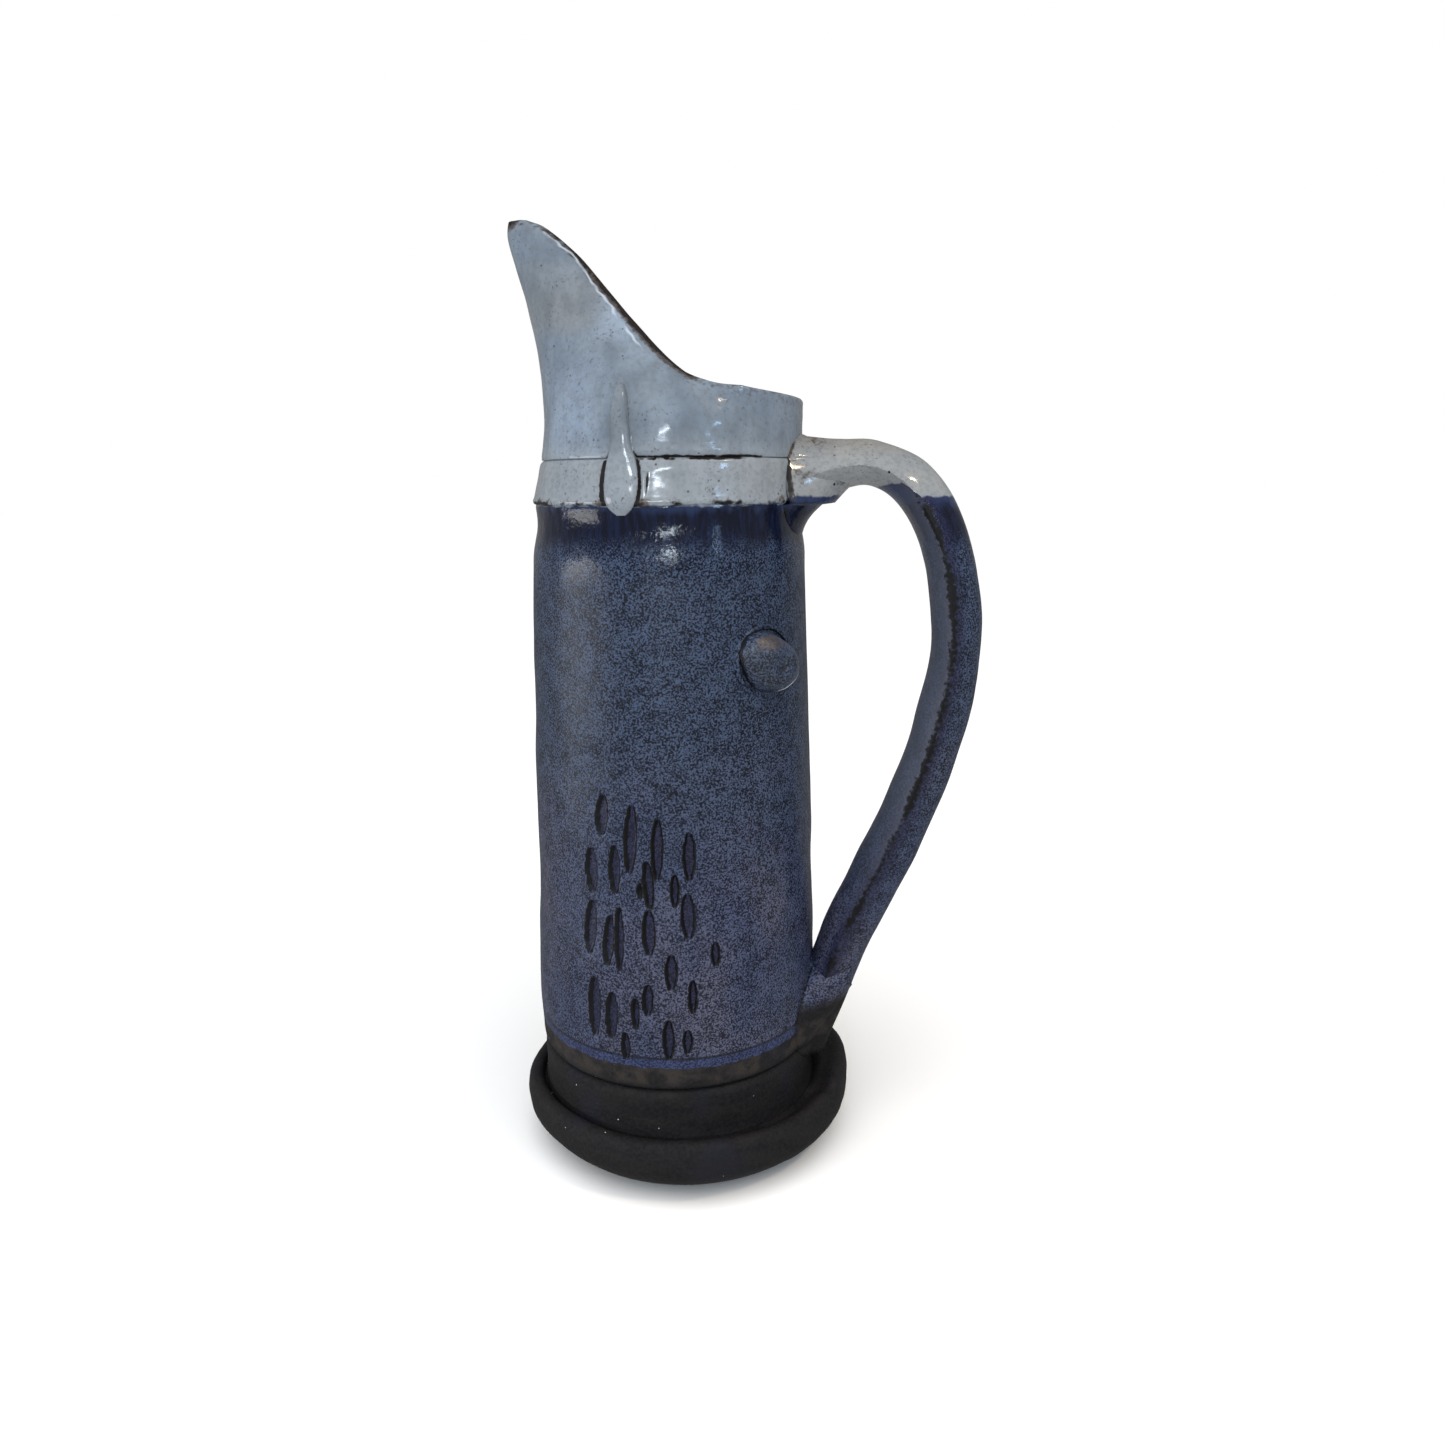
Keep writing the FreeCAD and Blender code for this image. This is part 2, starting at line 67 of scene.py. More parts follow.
def through(places, stations):
    """Smooth curve through stations of (place, value), read at each place."""
    marks, values = np.array(stations, float).T
    slopes = np.gradient(values, marks)
    before = np.clip(np.searchsorted(marks, places) - 1, 0, len(marks) - 2)
    step = marks[before + 1] - marks[before]
    share = np.clip((places - marks[before]) / step, 0.0, 1.0)
    rest = 1.0 - share
    start = rest ** 2 * ((1 + 2 * share) * values[before] + share * step * slopes[before])
    end = share ** 2 * ((3 - 2 * share) * values[before + 1] - rest * step * slopes[before + 1])
    return start + end


def ramp(values, low, high):
    """0 at one value and 1 at another, straight between them."""
    return np.clip((values - low) / (high - low), 0.0, 1.0)


def hump(values, middle, reach):
    """1 at the middle, easing to 0 at reach on either side."""
    near = ramp(np.abs(values - middle), reach, 0.0)
    return near * near * (3.0 - 2.0 * near)


def waver(points, size, seed):
    """Smooth chance unevenness, about -1 to 1, with waves of the given size."""
    places = points.reshape(-1, 3) / size + np.array([7.3, -3.1, 5.9]) * seed
    return np.array([noise.noise(place) for place in places.tolist()]).reshape(points.shape[:-1])


def clay_mesh(name, rows, looped=False, marks=None):
    """Closed skin over rows of points that each run once round the piece."""
    count, around = rows.shape[:2]
    points = rows.reshape(-1, 3)
    marks = {mark: np.ravel(values) for mark, values in (marks or {}).items()}
    line = np.arange(count if looped else count - 1)[:, None]
    step = np.arange(around)[None, :]
    after = (step + 1) % around
    above = (line + 1) % count
    corners = (line * around + step, line * around + after, above * around + after, above * around + step)
    faces = np.stack(corners, -1).reshape(-1, 4).tolist()
    if not looped:
        for end, flip in ((0, True), (count - 1, False)):
            ring = end * around + np.arange(around)
            hub = len(points)
            points = np.vstack([points, points[ring].mean(0)])
            marks = {mark: np.append(values, values[ring].mean()) for mark, values in marks.items()}
            pairs = zip(np.roll(ring, -1), ring) if flip else zip(ring, np.roll(ring, -1))
            faces += [[int(a), int(b), hub] for a, b in pairs]
    first = points[[face[0] for face in faces]]
    second = points[[face[1] for face in faces]]
    third = points[[face[2] for face in faces]]
    last = points[[face[-1] for face in faces]]
    volume = (first * (np.cross(second, third) + np.cross(third, last))).sum()
    if volume < 0:
        faces = [face[::-1] for face in faces]
    mesh = bpy.data.meshes.new(name)
    mesh.from_pydata(points.tolist(), [], faces)
    for mark, values in marks.items():
        mesh.attributes.new(mark, "FLOAT", "POINT").data.foreach_set("value", values.astype(np.float32))
    mesh.polygons.foreach_set("use_smooth", [True] * len(mesh.polygons))
    mesh.update()
    return mesh


def turned_rows(profile, around, shift):
    """Rows of a piece thrown on the wheel: a profile of (radius, height) turned round Z."""
    angles = np.linspace(-math.pi, math.pi, around, endpoint=False)
    radius, height = np.array(profile).T
    shift = np.broadcast_to(shift, radius.shape)
    x = radius[:, None] * np.cos(angles) + shift[:, None]
    y = radius[:, None] * np.sin(angles)
    return np.stack([x, y, np.broadcast_to(height[:, None], x.shape)], -1)


def push_out(rows, push):
    """Move points away from the Z axis."""
    angles = np.arctan2(rows[..., 1], rows[..., 0])
    rows[..., 0] += push * np.cos(angles)
    rows[..., 1] += push * np.sin(angles)


def dense(profile, rows):
    """The same profile with evenly spaced points on a smooth curve through it."""
    steps = np.hypot(*np.diff(np.array(profile), axis=0).T)
    run = np.append(0.0, np.cumsum(steps))
    places = np.linspace(0.0, run[-1], rows)
    radius = through(places, list(zip(run, [point[0] for point in profile])))
    height = through(places, list(zip(run, [point[1] for point in profile])))
    return np.stack([np.maximum(radius, 0.0), height], -1)


def tone(red, green, blue):
    """A colour as the eye sees it, 0 to 255, in the linear light that a shader takes."""
    levels = [value / 255.0 for value in (red, green, blue)]
    return tuple(v / 12.92 if v <= 0.04045 else ((v + 0.055) / 1.055) ** 2.4 for v in levels) + (1.0,)


def taking_part(operation, comes_last=False):
    """How an answer takes part in a sum: through one Math node."""
    def add_node(answer, *others):
        return reckon(operation, *others, answer) if comes_last else reckon(operation, answer, *others)
    return add_node


class Answer:
    """What a node gives out. Sums with it add Math nodes, so that they read like plain sums."""

    __add__, __radd__ = taking_part("ADD"), taking_part("ADD", True)
    __sub__, __rsub__ = taking_part("SUBTRACT"), taking_part("SUBTRACT", True)
    __mul__, __truediv__ = taking_part("MULTIPLY"), taking_part("DIVIDE")
    __pow__, __abs__ = taking_part("POWER"), taking_part("ABSOLUTE")

    def __init__(self, socket):
        self.socket = socket


def wire(tree, kind, inputs=(), **settings):
    """One node with its settings; each input is given a value or the answer that feeds it."""
    node = tree.nodes.new(kind)
    for name, value in settings.items():
        setattr(node, name, value)
    for key, value in dict(inputs).items():
        if isinstance(value, Answer):
            tree.links.new(value.socket, node.inputs[key])
        else:
            node.inputs[key].default_value = value
    return node


def ask(tree, kind, inputs=(), output=0, **settings):
    """What one new node gives out."""
    return Answer(wire(tree, kind, inputs, **settings).outputs[output])


def reckon(operation, *values):
    """A Math node's answer."""
    tree = next(value.socket.id_data for value in values if isinstance(value, Answer))
    return ask(tree, "ShaderNodeMath", dict(enumerate(values)), operation=operation)


def split(tree, vector):
    """The three parts of a vector."""
    return [Answer(part) for part in wire(tree, "ShaderNodeSeparateXYZ", {0: vector}).outputs]


def climb(value, low, high):
    """0 below one value, 1 above another, eased between them."""
    inputs = {0: value, 1: low, 2: high}
    return ask(value.socket.id_data, "ShaderNodeMapRange", inputs, interpolation_type="SMOOTHSTEP")


class Kiln:
    """The shader nodes of one fired surface."""

    def __init__(self, name):
        self.material = bpy.data.materials.new(name)
        self.material.use_nodes = True
        self.tree = self.material.node_tree
        self.tree.nodes.clear()
        self.place = ask(self.tree, "ShaderNodeTexCoord", output="Object")
        self.height = split(self.tree, self.place)[2]

    def cloud(self, size, detail=2.0, stretch=(1.0, 1.0, 1.0)):
        """Chance pattern from 0 to 1 with blots of the given size in metres."""
        place = ask(self.tree, "ShaderNodeMapping", {"Vector": self.place, "Scale": stretch})
        return ask(self.tree, "ShaderNodeTexNoise", {"Vector": place, "Scale": 1.0 / size, "Detail": detail})

    def patches(self, low, high, *pattern):
        """A cloud's blots, picked out between two of its levels."""
        return climb(self.cloud(*pattern), low, high)

    def drift(self, low, high, *pattern):
        """A cloud spread between two figures."""
        return self.between(self.cloud(*pattern), low, high)

    def specks(self, size, share, kept):
        """Round specks: cells of the given size, the speck's share of a cell, cells that have one."""
        cells = wire(self.tree, "ShaderNodeTexVoronoi", {"Vector": self.place, "Scale": 1.0 / size}).outputs
        chance = ask(self.tree, "ShaderNodeSeparateColor", {0: Answer(cells["Color"])})
        inside = climb(Answer(cells["Distance"]), share, share * 0.6)
        return inside * climb(chance, 1.0 - kept, 1.001 - kept)

    def between(self, value, low, high):
        """A 0 to 1 value spread between two figures."""
        return ask(self.tree, "ShaderNodeMapRange", {0: value, 3: low, 4: high})

    def mark(self, name):
        """A mark that the mesh carries, such as where the glaze breaks."""
        return ask(self.tree, "ShaderNodeAttribute", output="Fac", attribute_name=name)

    def blend(self, share, under, over):
        """The over colour laid on the under colour."""
        return ask(self.tree, "ShaderNodeMix", {0: share, 6: under, 7: over}, output=2, data_type="RGBA")

    def coats(self, colour, *coats):
        """Coats of (share, colour), laid on one after another."""
        for share, over in coats:
            colour = self.blend(share, colour, over)
        return colour

    def weigh(self, share, under, over):
        """A blend of two figures."""
        return ask(self.tree, "ShaderNodeMix", {0: share, 2: under, 3: over})


def bare_clay(kiln):
    """Charcoal stoneware with a toasted band under the glaze and bright grains of mica."""
    grain = kiln.patches(0.35, 0.65, 0.0011, 3.0)
    smear = kiln.patches(0.35, 0.70, 0.012, 3.0, (1.0, 1.0, 3.0))
    toasted = climb(kiln.height, 0.0368, 0.0405) * climb(kiln.height, 0.0490, 0.0455)
    toasted = toasted * kiln.between(kiln.patches(0.38, 0.62, 0.005, 4.0), 0.15, 1.0)
    sheen = kiln.patches(0.60, 0.72, 0.02, 1.0)
    mica = kiln.specks(0.0034, 0.075, 0.22)
    return kiln.coats(
        kiln.blend(grain, tone(11, 11, 14), tone(21, 20, 24)),
        (smear * 0.5, tone(29, 26, 26)),
        (toasted, tone(44, 39, 36)),
        (sheen * 0.5, tone(20, 22, 34)),
        (mica, tone(190, 195, 205)))


def blue_glaze(kiln):
    """Cobalt glaze: navy and glossy where it ran thick, breaking to slate grey lower down."""
    mottle = climb(kiln.cloud(0.00056, 3.0) + kiln.drift(-0.10, 0.10, 0.005), 0.40, 0.62)
    clouds = kiln.patches(0.36, 0.66, 0.03, 3.0, (1.0, 1.0, 0.7))
    clear = kiln.blend(mottle, tone(10, 15, 34), tone(60, 70, 98))
    dusty = kiln.blend(mottle, tone(19, 21, 36), tone(78, 80, 101))
    deep = kiln.blend(mottle, tone(5, 9, 24), tone(57, 71, 96))
    higher_up = climb(kiln.height + kiln.drift(-0.03, 0.03, 0.02), 0.085, 0.160)
    ragged = kiln.height + kiln.drift(-0.004, 0.004, 0.004, 2.0, (1.0, 1.0, 0.3))
    runs = kiln.patches(0.40, 0.72, 0.0012, 3.0, (1.0, 1.0, 0.12))
    navy = kiln.blend(runs, tone(8, 12, 28), tone(16, 25, 50))
    navy = kiln.blend(climb(ragged, 0.2165, 0.2200) * 0.6, navy, tone(44, 58, 92))
    in_cuts = kiln.blend(mottle, tone(20, 21, 38), tone(38, 41, 70))
    foot_roll = kiln.blend(mottle, tone(22, 30, 58), tone(44, 57, 98))
    foot_line = climb(abs(kiln.height - 0.0482), 0.0006, 0.0002)
    pits = kiln.specks(0.011, 0.075, 0.35)
    return kiln.coats(
        kiln.blend(clouds, clear, dusty),
        (higher_up, deep),
        (climb(ragged, 0.203, 0.2115), navy),
        (kiln.mark("pool"), in_cuts),
        (climb(kiln.height, 0.0485, 0.0478) * 0.75, foot_roll),
        (foot_line * 0.8, tone(18, 19, 26)),
        (pits * 0.8, tone(12, 12, 16)))


def white_glaze(kiln, warmth):
    """Milky glaze with a blue cast, faint runs, beige patches and iron specks from the clay."""
    runs = kiln.patches(0.28, 0.72, 0.007, 3.0, (1.0, 1.0, 0.5))
    veil = kiln.patches(0.40, 0.65, 0.022)
    beige = kiln.blend(runs, tone(98, 97, 95), tone(124, 120, 113))
    # Painted light: pale bluish cloud where a piece's mark says its surface is lit.
    milky = kiln.mark("milky") * kiln.patches(0.2, 0.7, 0.009, 3.0)
    thick = climb(kiln.height, 0.2400, 0.2305)
    grain = kiln.patches(0.42, 0.66, 0.0016, 4.0)
    soot = kiln.patches(0.58, 0.70, 0.0008, 4.0)
    dirty = kiln.between(kiln.patches(0.42, 0.66, 0.011, 3.0), 0.10, 0.75)
    rusted = kiln.specks(0.0030, 0.15, 0.16)
    iron = kiln.specks(0.0085, 0.07, 0.25)
    return kiln.coats(
        kiln.blend(runs, tone(94, 104, 115), tone(115, 126, 137)),
        (veil * 0.35, tone(110, 124, 143)),
        (kiln.mark("warm") * 0.75 + warmth, beige),
        (milky, tone(142, 158, 178)),
        (thick * 0.45, tone(150, 157, 163)),
        (grain * 0.24, tone(86, 90, 94)),
        (soot * dirty, tone(70, 62, 55)),
        (rusted * 0.75, tone(58, 46, 40)),
        (iron, tone(32, 25, 22)))


def fired_surface(name, glaze_from=0.0447, white_from=0.2188, warmth=0.0, shine=0.4, fade=0.0002):
    """Bare clay below, blue glaze from one height and white glaze from another."""
    kiln = Kiln(name)
    under = kiln.mark("under")
    edge = kiln.height + kiln.drift(-0.0012, 0.0012, 0.0035, 3.0, (1.0, 1.0, 0.4))
    glazed = climb(edge, glaze_from - fade, glaze_from + fade)
    white = climb(edge - under * 0.006, white_from - 0.0003, white_from + 0.0005)
    chance = kiln.drift(-0.42, 0.42, 0.0014, 3.0)
    # The dark mark holds real glaze breaks and, beside the strap, painted crease shade.
    breaks_and_shade = climb(kiln.mark("dark") + chance, 0.36, 0.62)
    stain_and_glint = climb(kiln.mark("brown") + chance, 0.36, 0.70)
    rust = kiln.blend(kiln.cloud(0.002), tone(26, 19, 16), tone(76, 60, 47))
    blue = kiln.coats(
        blue_glaze(kiln),
        (under * 0.55, tone(84, 88, 100)),
        # Brown in the blue glaze: iron stains, and on the boss a painted warm highlight.
        (stain_and_glint * 0.6, tone(66, 56, 50)),
        (breaks_and_shade, tone(11, 11, 15)))
    pale = kiln.coats(white_glaze(kiln, warmth), (stain_and_glint * 0.85, rust), (breaks_and_shade, tone(18, 14, 14)))
    # The pale coat is a painted highlight along the spout's rim bead, and pale glaze along the boss's
    # pinched rim.
    glaze = kiln.coats(blue, (white, pale), (kiln.mark("thin"), tone(184, 196, 208)))
    colour = kiln.blend(glazed, bare_clay(kiln), glaze)

    run_thick = climb(kiln.height, 0.190, 0.210)
    satin = kiln.drift(0.34, 0.52, 0.0016, 3.0)
    glossy = kiln.drift(0.08, 0.20, 0.005)
    gloss = kiln.weigh(white, kiln.weigh(run_thick, satin, glossy), glossy)
    gloss = kiln.weigh(breaks_and_shade, gloss, 0.5)
    gloss = kiln.weigh(glazed, kiln.drift(0.58, 0.85, 0.002), gloss)

    swell = kiln.cloud(0.009) * kiln.weigh(glazed, 0.2, 1.0)
    pebble = kiln.cloud(0.0012, 3.0) * kiln.weigh(glazed, 0.9, kiln.weigh(white, 0.34, 0.05))
    relief = swell * 1.3 + pebble - breaks_and_shade * 0.35
    bump = ask(kiln.tree, "ShaderNodeBump", {"Strength": 0.9, "Distance": 0.00035, "Height": relief})
    shader = ask(kiln.tree, "ShaderNodeBsdfPrincipled", {
        "Base Color": colour, "Roughness": gloss, "Normal": bump,
        "IOR": 1.5, "Specular IOR Level": shine})
    output = wire(kiln.tree, "ShaderNodeOutputMaterial", {0: shader})
    output.is_active_output = True
    return kiln.material


def show(piece):
    """Put an object in the scene."""
    bpy.context.scene.collection.objects.link(piece)


def set_in_place(mesh, material, node):
    """The finished piece: it shows instead of its CAD node and stands on the pitcher's one body."""
    mesh.materials.clear()
    mesh.materials.append(material)
    piece = bpy.data.objects.new(mesh.name, mesh)
    show(piece)
    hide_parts(node)
    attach(piece, "root")


profile = dense(SAUCER_SIDE, 150)
outside = ramp(profile[:, 0], 0.049, 0.053) * ramp(profile[:, 1], 0.0, 0.006)
follow = ramp(profile[:, 0], 0.0478, 0.0523)
follow[:len(follow) // 2] = 1.0
saucer = turned_rows(profile, 300, SAUCER_SHIFT * follow)
angles = np.arctan2(saucer[..., 1], saucer[..., 0])
rim = ramp(saucer[..., 2], 0.010, 0.020) * (profile[:, 0] > 0.0488)[:, None]
saucer[..., 2] -= rim * (0.0009 + 0.0009 * waver(saucer, 0.028, 3))
raised = hump(angles, math.radians(4), 0.85)
notch = hump(angles, math.radians(-27), 0.12)
saucer[..., 2] += rim * (0.0032 * raised - 0.0020 * notch)
left_lip = hump(np.abs(angles), math.pi, 1.1) * ramp(saucer[..., 2], 0.006, 0.016)
push = 0.0007 * waver(saucer, 0.022, 4) - 0.0006 + 0.0006 * raised + 0.0014 * left_lip
push += 0.00022 * waver(saucer, 0.006, 5)
push_out(saucer, outside[:, None] * push)
saucer[..., 2] = np.maximum(saucer[..., 2], 0.0)
saucer[..., 0] = np.maximum(saucer[..., 0], cad_low.x + 0.0003)
set_in_place(
    clay_mesh("saucer_foot", saucer),
    fired_surface("charcoal_clay_saucer", glaze_from=0.09), "base_slab")


# The foot band: a thick ring of the same dark clay standing in the saucer. It is luted to
# the floor and waisted by the fingers; the tall tube stands on its top edge.
BAND_SIDE = [
    (0.0426, 0.0072), (0.0476, 0.0072), (0.0481, 0.0110), (0.0481, 0.0160), (0.0480, 0.0185),
    (0.0475, 0.0215), (0.0472, 0.0250), (0.0472, 0.0290), (0.0474, 0.0325), (0.0472, 0.0348),
    (0.0463, 0.0361), (0.0450, 0.0366), (0.0430, 0.0366), (0.0426, 0.0355), (0.0426, 0.0220),
]
profile = dense(BAND_SIDE, 110)
band = turned_rows(profile, 300, 0.0)
outside = (profile[:, 0] > 0.0445)[:, None] * ramp(band[..., 2], 0.012, 0.018)
push_out(band, outside * (0.0004 * waver(band, 0.02, 8) + 0.00018 * waver(band, 0.005, 9)))
set_in_place(
    clay_mesh("foot_ring", band, looped=True),
    fired_surface("charcoal_clay_band", glaze_from=0.09), "foot_band")


# The inner coil: a roll of clay smeared into the corner between the floor and the band, to
# keep the joint tight. It sits inside the pot, under the white lining glaze.
COIL_SIDE = [
    (0.0368, 0.0071), (0.0420, 0.0071), (0.0425, 0.0076), (0.0425, 0.0128),
    (0.0418, 0.0122), (0.0406, 0.0100), (0.0392, 0.0084), (0.0376, 0.0074),
]
coil = turned_rows(dense(COIL_SIDE, 40), 220, 0.0)
free_side = np.hypot(coil[..., 0], coil[..., 1]) < 0.042
push_out(coil, 0.0005 * waver(coil, 0.009, 11) * free_side)
set_in_place(
    clay_mesh("floor_coil", coil, looped=True),
    fired_surface("white_glaze_lining", glaze_from=-0.01, white_from=-0.005, shine=0.5),
    "inner_coil")


# The tall tube: a slab of clay rolled into a cylinder, a little fuller at the foot and
# pinched in under the collar. Rows of leaf-shaped cuts were pressed into its front before
# the blue glaze, which breaks to black along their lips.
WALL_SIDE = [
    (0.0366, 0.0458), (0.0374, 0.0470), (0.0390, 0.0475), (0.0430, 0.0477), (0.0480, 0.0479),
    (0.0550, 0.0481), (0.0680, 0.0480), (0.0800, 0.0477), (0.0900, 0.0471), (0.0990, 0.0466),
    (0.1150, 0.0466), (0.1300, 0.0463), (0.1450, 0.0457), (0.1620, 0.0453), (0.1820, 0.0447),
    (0.1980, 0.0441), (0.2040, 0.0438), (0.2080, 0.0431), (0.2115, 0.0424), (0.2150, 0.0422),
    (0.2190, 0.0424), (0.2236, 0.0411),
]
WALL_THICKNESS = 0.0054
WALL_FOOT, WALL_TOP = 0.0366, 0.2236
CUTS_FROM, CUTS_TO = 0.0450, 0.1360
NECK_BORE = 0.0384
# Each cut: its turn in degrees, its height, length and width in mm, and how many steps it leans.
CUT_SHEET = [
    (-118.9, 126.8, 13.5, 5.0, 3), (-107.1, 119.9, 23.1, 4.8, 4), (-96.9, 117.0, 20.8, 4.3, 2),
    (-84.9, 114.6, 16.1, 4.6, 0), (-124.3, 108.5, 15.1, 5.1, -1), (-114.0, 109.8, 16.4, 4.3, 0),
    (-100.6, 105.6, 16.0, 4.0, -3), (-104.0, 103.6, 5.5, 1.9, 0), (-90.6, 103.8, 11.2, 3.3, 0),
    (-125.0, 89.8, 18.5, 5.1, 3), (-116.8, 86.6, 17.4, 4.1, 3), (-112.3, 87.4, 21.9, 3.4, -1),
    (-100.6, 90.3, 15.1, 4.7, -1), (-85.7, 95.5, 14.9, 5.2, -1), (-75.5, 82.6, 8.3, 3.2, 0),
    (-92.5, 77.6, 12.0, 4.3, 0), (-123.8, 63.2, 22.0, 5.1, 2), (-116.3, 61.4, 17.0, 4.6, 2),
    (-106.5, 63.2, 11.3, 3.0, 0), (-101.5, 68.2, 11.2, 4.0, 1), (-84.6, 69.2, 11.4, 3.2, 0),
    (-94.0, 54.7, 14.4, 4.0, 0), (-86.9, 54.1, 8.6, 3.6, 0), (-110.9, 51.5, 10.1, 3.2, 0),
]
LEAN_STEP = 0.00016
CUT_RADIUS = 0.0467
NECK_MIDDLE = 0.209
BURR = 0.00012


def wall_outline():
    """The wall's section as a string of points, closed over the neck and down the inside."""
    heights = np.concatenate([
        np.linspace(WALL_FOOT, CUTS_FROM, 12, endpoint=False),
        np.linspace(CUTS_FROM, CUTS_TO, 158, endpoint=False),
        np.linspace(CUTS_TO, WALL_TOP, 48),
    ])
    outer = np.stack([through(heights, WALL_SIDE), heights], -1)
    inside = np.linspace(WALL_TOP, WALL_FOOT, 26)
    inner = np.stack([through(inside, WALL_SIDE) - WALL_THICKNESS, inside], -1)
    inner[0, 0] = NECK_BORE
    return outer, inner


outer, inner = wall_outline()
section = np.vstack([outer, inner, outer[:1]])
outline = bpy.data.meshes.new("wall_outline")
links = [(n, n + 1) for n in range(len(section) - 1)]
outline.from_pydata([(radius, 0.0, height) for radius, height in section], links, [])
on_outside = np.zeros(len(section), np.float32)
on_outside[2:len(outer) - 2] = 1.0
outline.attributes.new("outside", "FLOAT", "POINT").data.foreach_set("value", on_outside)
outline_piece = bpy.data.objects.new("tall_tube_outline", outline)
show(outline_piece)

cuts = bpy.data.meshes.new("cut_places")
turns, heights, lengths, widths, leans = np.array(CUT_SHEET).T
turns = np.radians(turns)
middles = np.stack([CUT_RADIUS * np.cos(turns), CUT_RADIUS * np.sin(turns), heights / 1000.0], -1)
cuts.from_pydata(middles.tolist(), [], [])
shapes = np.stack([lengths / 1000.0, widths / 1000.0, leans * LEAN_STEP], -1)
cuts.attributes.new("shape", "FLOAT_VECTOR", "POINT").data.foreach_set("vector", np.ravel(shapes))
cuts_piece = bpy.data.objects.new("cut_places", cuts)
show(cuts_piece)


def angle_of(tree, vector):
    """The angle round Z of a point, and its height."""
    x, y, height = split(tree, vector)
    return reckon("ARCTAN2", y, x), height


def stored(tree, geometry, name, value):
    """The geometry with one more figure on its points."""
    inputs = {"Geometry": geometry, "Name": name, "Value": value}
    return ask(tree, "GeometryNodeStoreNamedAttribute", inputs, data_type="FLOAT", domain="POINT")


def carried(tree, name, data_type="FLOAT"):
    """A figure that the points carry."""
    return ask(tree, "GeometryNodeInputNamedAttribute", {"Name": name}, data_type=data_type)


def sampled(tree, geometry, value, index, data_type="FLOAT_VECTOR"):
    """A value read at one point of another geometry."""
    inputs = {"Geometry": geometry, "Value": value, "Index": index}
    return ask(tree, "GeometryNodeSampleIndex", inputs, data_type=data_type, domain="POINT")


def press_one_cut(tree, geometry, sheet, number, lip, ragged):
    """Stamp one leaf-shaped cut: how deep each point lies in it, and how near its lip."""
    place = ask(tree, "GeometryNodeInputPosition")
    shape = carried(tree, "shape", "FLOAT_VECTOR")
    length, width, lean = split(tree, sampled(tree, sheet, shape, number))
    turn, height = angle_of(tree, place)
    turn_there, height_there = angle_of(tree, sampled(tree, sheet, place, number))
    along = (height - height_there) / (length * 0.5)
    across = (turn - turn_there) * CUT_RADIUS - lean * along
    half_wide = width * 0.42 * (1.0 - abs(along) ** 2.2 * 0.72)
    beside = abs(across) - half_wide + ragged
    here = climb(abs(along), 1.04, 0.84) * carried(tree, "outside")
    inside = climb(beside, 0.0003, -0.0007) * here
    left = climb(across, 0.0004, -0.0004)
    reach = lip * (0.8 + left * 0.45)
    edge = climb(abs(beside + 0.0002) / reach, 1.0, 0.35) * here
    deeper = reckon("MAXIMUM", inside, carried(tree, "pool"))
    darker = reckon("MAXIMUM", edge, carried(tree, "dark"))
    return stored(tree, stored(tree, geometry, "pool", deeper), "dark", darker)


def press_all_cuts(tree, tube, given):
    """Every cut on the sheet in turn."""
    sheet = ask(tree, "GeometryNodeObjectInfo", {"Object": given["Cuts"]}, output="Geometry")
    counted = ask(tree, "GeometryNodeAttributeDomainSize", {0: sheet}, output="Point Count")
    place = ask(tree, "GeometryNodeInputPosition")
    torn = ask(tree, "ShaderNodeTexNoise", {"Vector": place, "Scale": 620.0, "Detail": 2.0})
    ragged = (torn - 0.5) * given["Raggedness"]
    begin = wire(tree, "GeometryNodeRepeatInput")
    end = wire(tree, "GeometryNodeRepeatOutput")
    begin.pair_with_output(end)
    tree.links.new(counted.socket, begin.inputs["Iterations"])
    tree.links.new(tube.socket, begin.inputs["Geometry"])
    so_far, number = Answer(begin.outputs["Geometry"]), Answer(begin.outputs["Iteration"])
    pressed = press_one_cut(tree, so_far, sheet, number, given["Lip width"], ragged)
    tree.links.new(pressed.socket, end.inputs["Geometry"])
    return Answer(end.outputs["Geometry"])


def uneven(tree, tube, given):
    """Sink the cuts and leave the wall as uneven as a hand-rolled slab, most of all at the neck."""
    place = ask(tree, "GeometryNodeInputPosition")
    broad = ask(tree, "ShaderNodeTexNoise", {"Vector": place, "Scale": 24.0, "Detail": 2.0})
    x, y, height = split(tree, place)
    neck = climb(abs(height - NECK_MIDDLE), 0.009, 0.0)
    sway = given["Unevenness"] * (1.0 + neck * 0.9)
    swell = (broad - 0.52) * sway * carried(tree, "outside")
    sunk = carried(tree, "pool") * given["Cut depth"]
    move = swell - sunk + carried(tree, "dark") * BURR
    outward = ask(tree, "ShaderNodeCombineXYZ", {0: x, 1: y})
    outward = ask(tree, "ShaderNodeVectorMath", {0: outward}, operation="NORMALIZE")
    shift = ask(tree, "ShaderNodeVectorMath", {0: outward, 3: move}, operation="SCALE")
    return ask(tree, "GeometryNodeSetPosition", {"Geometry": tube, "Offset": shift})


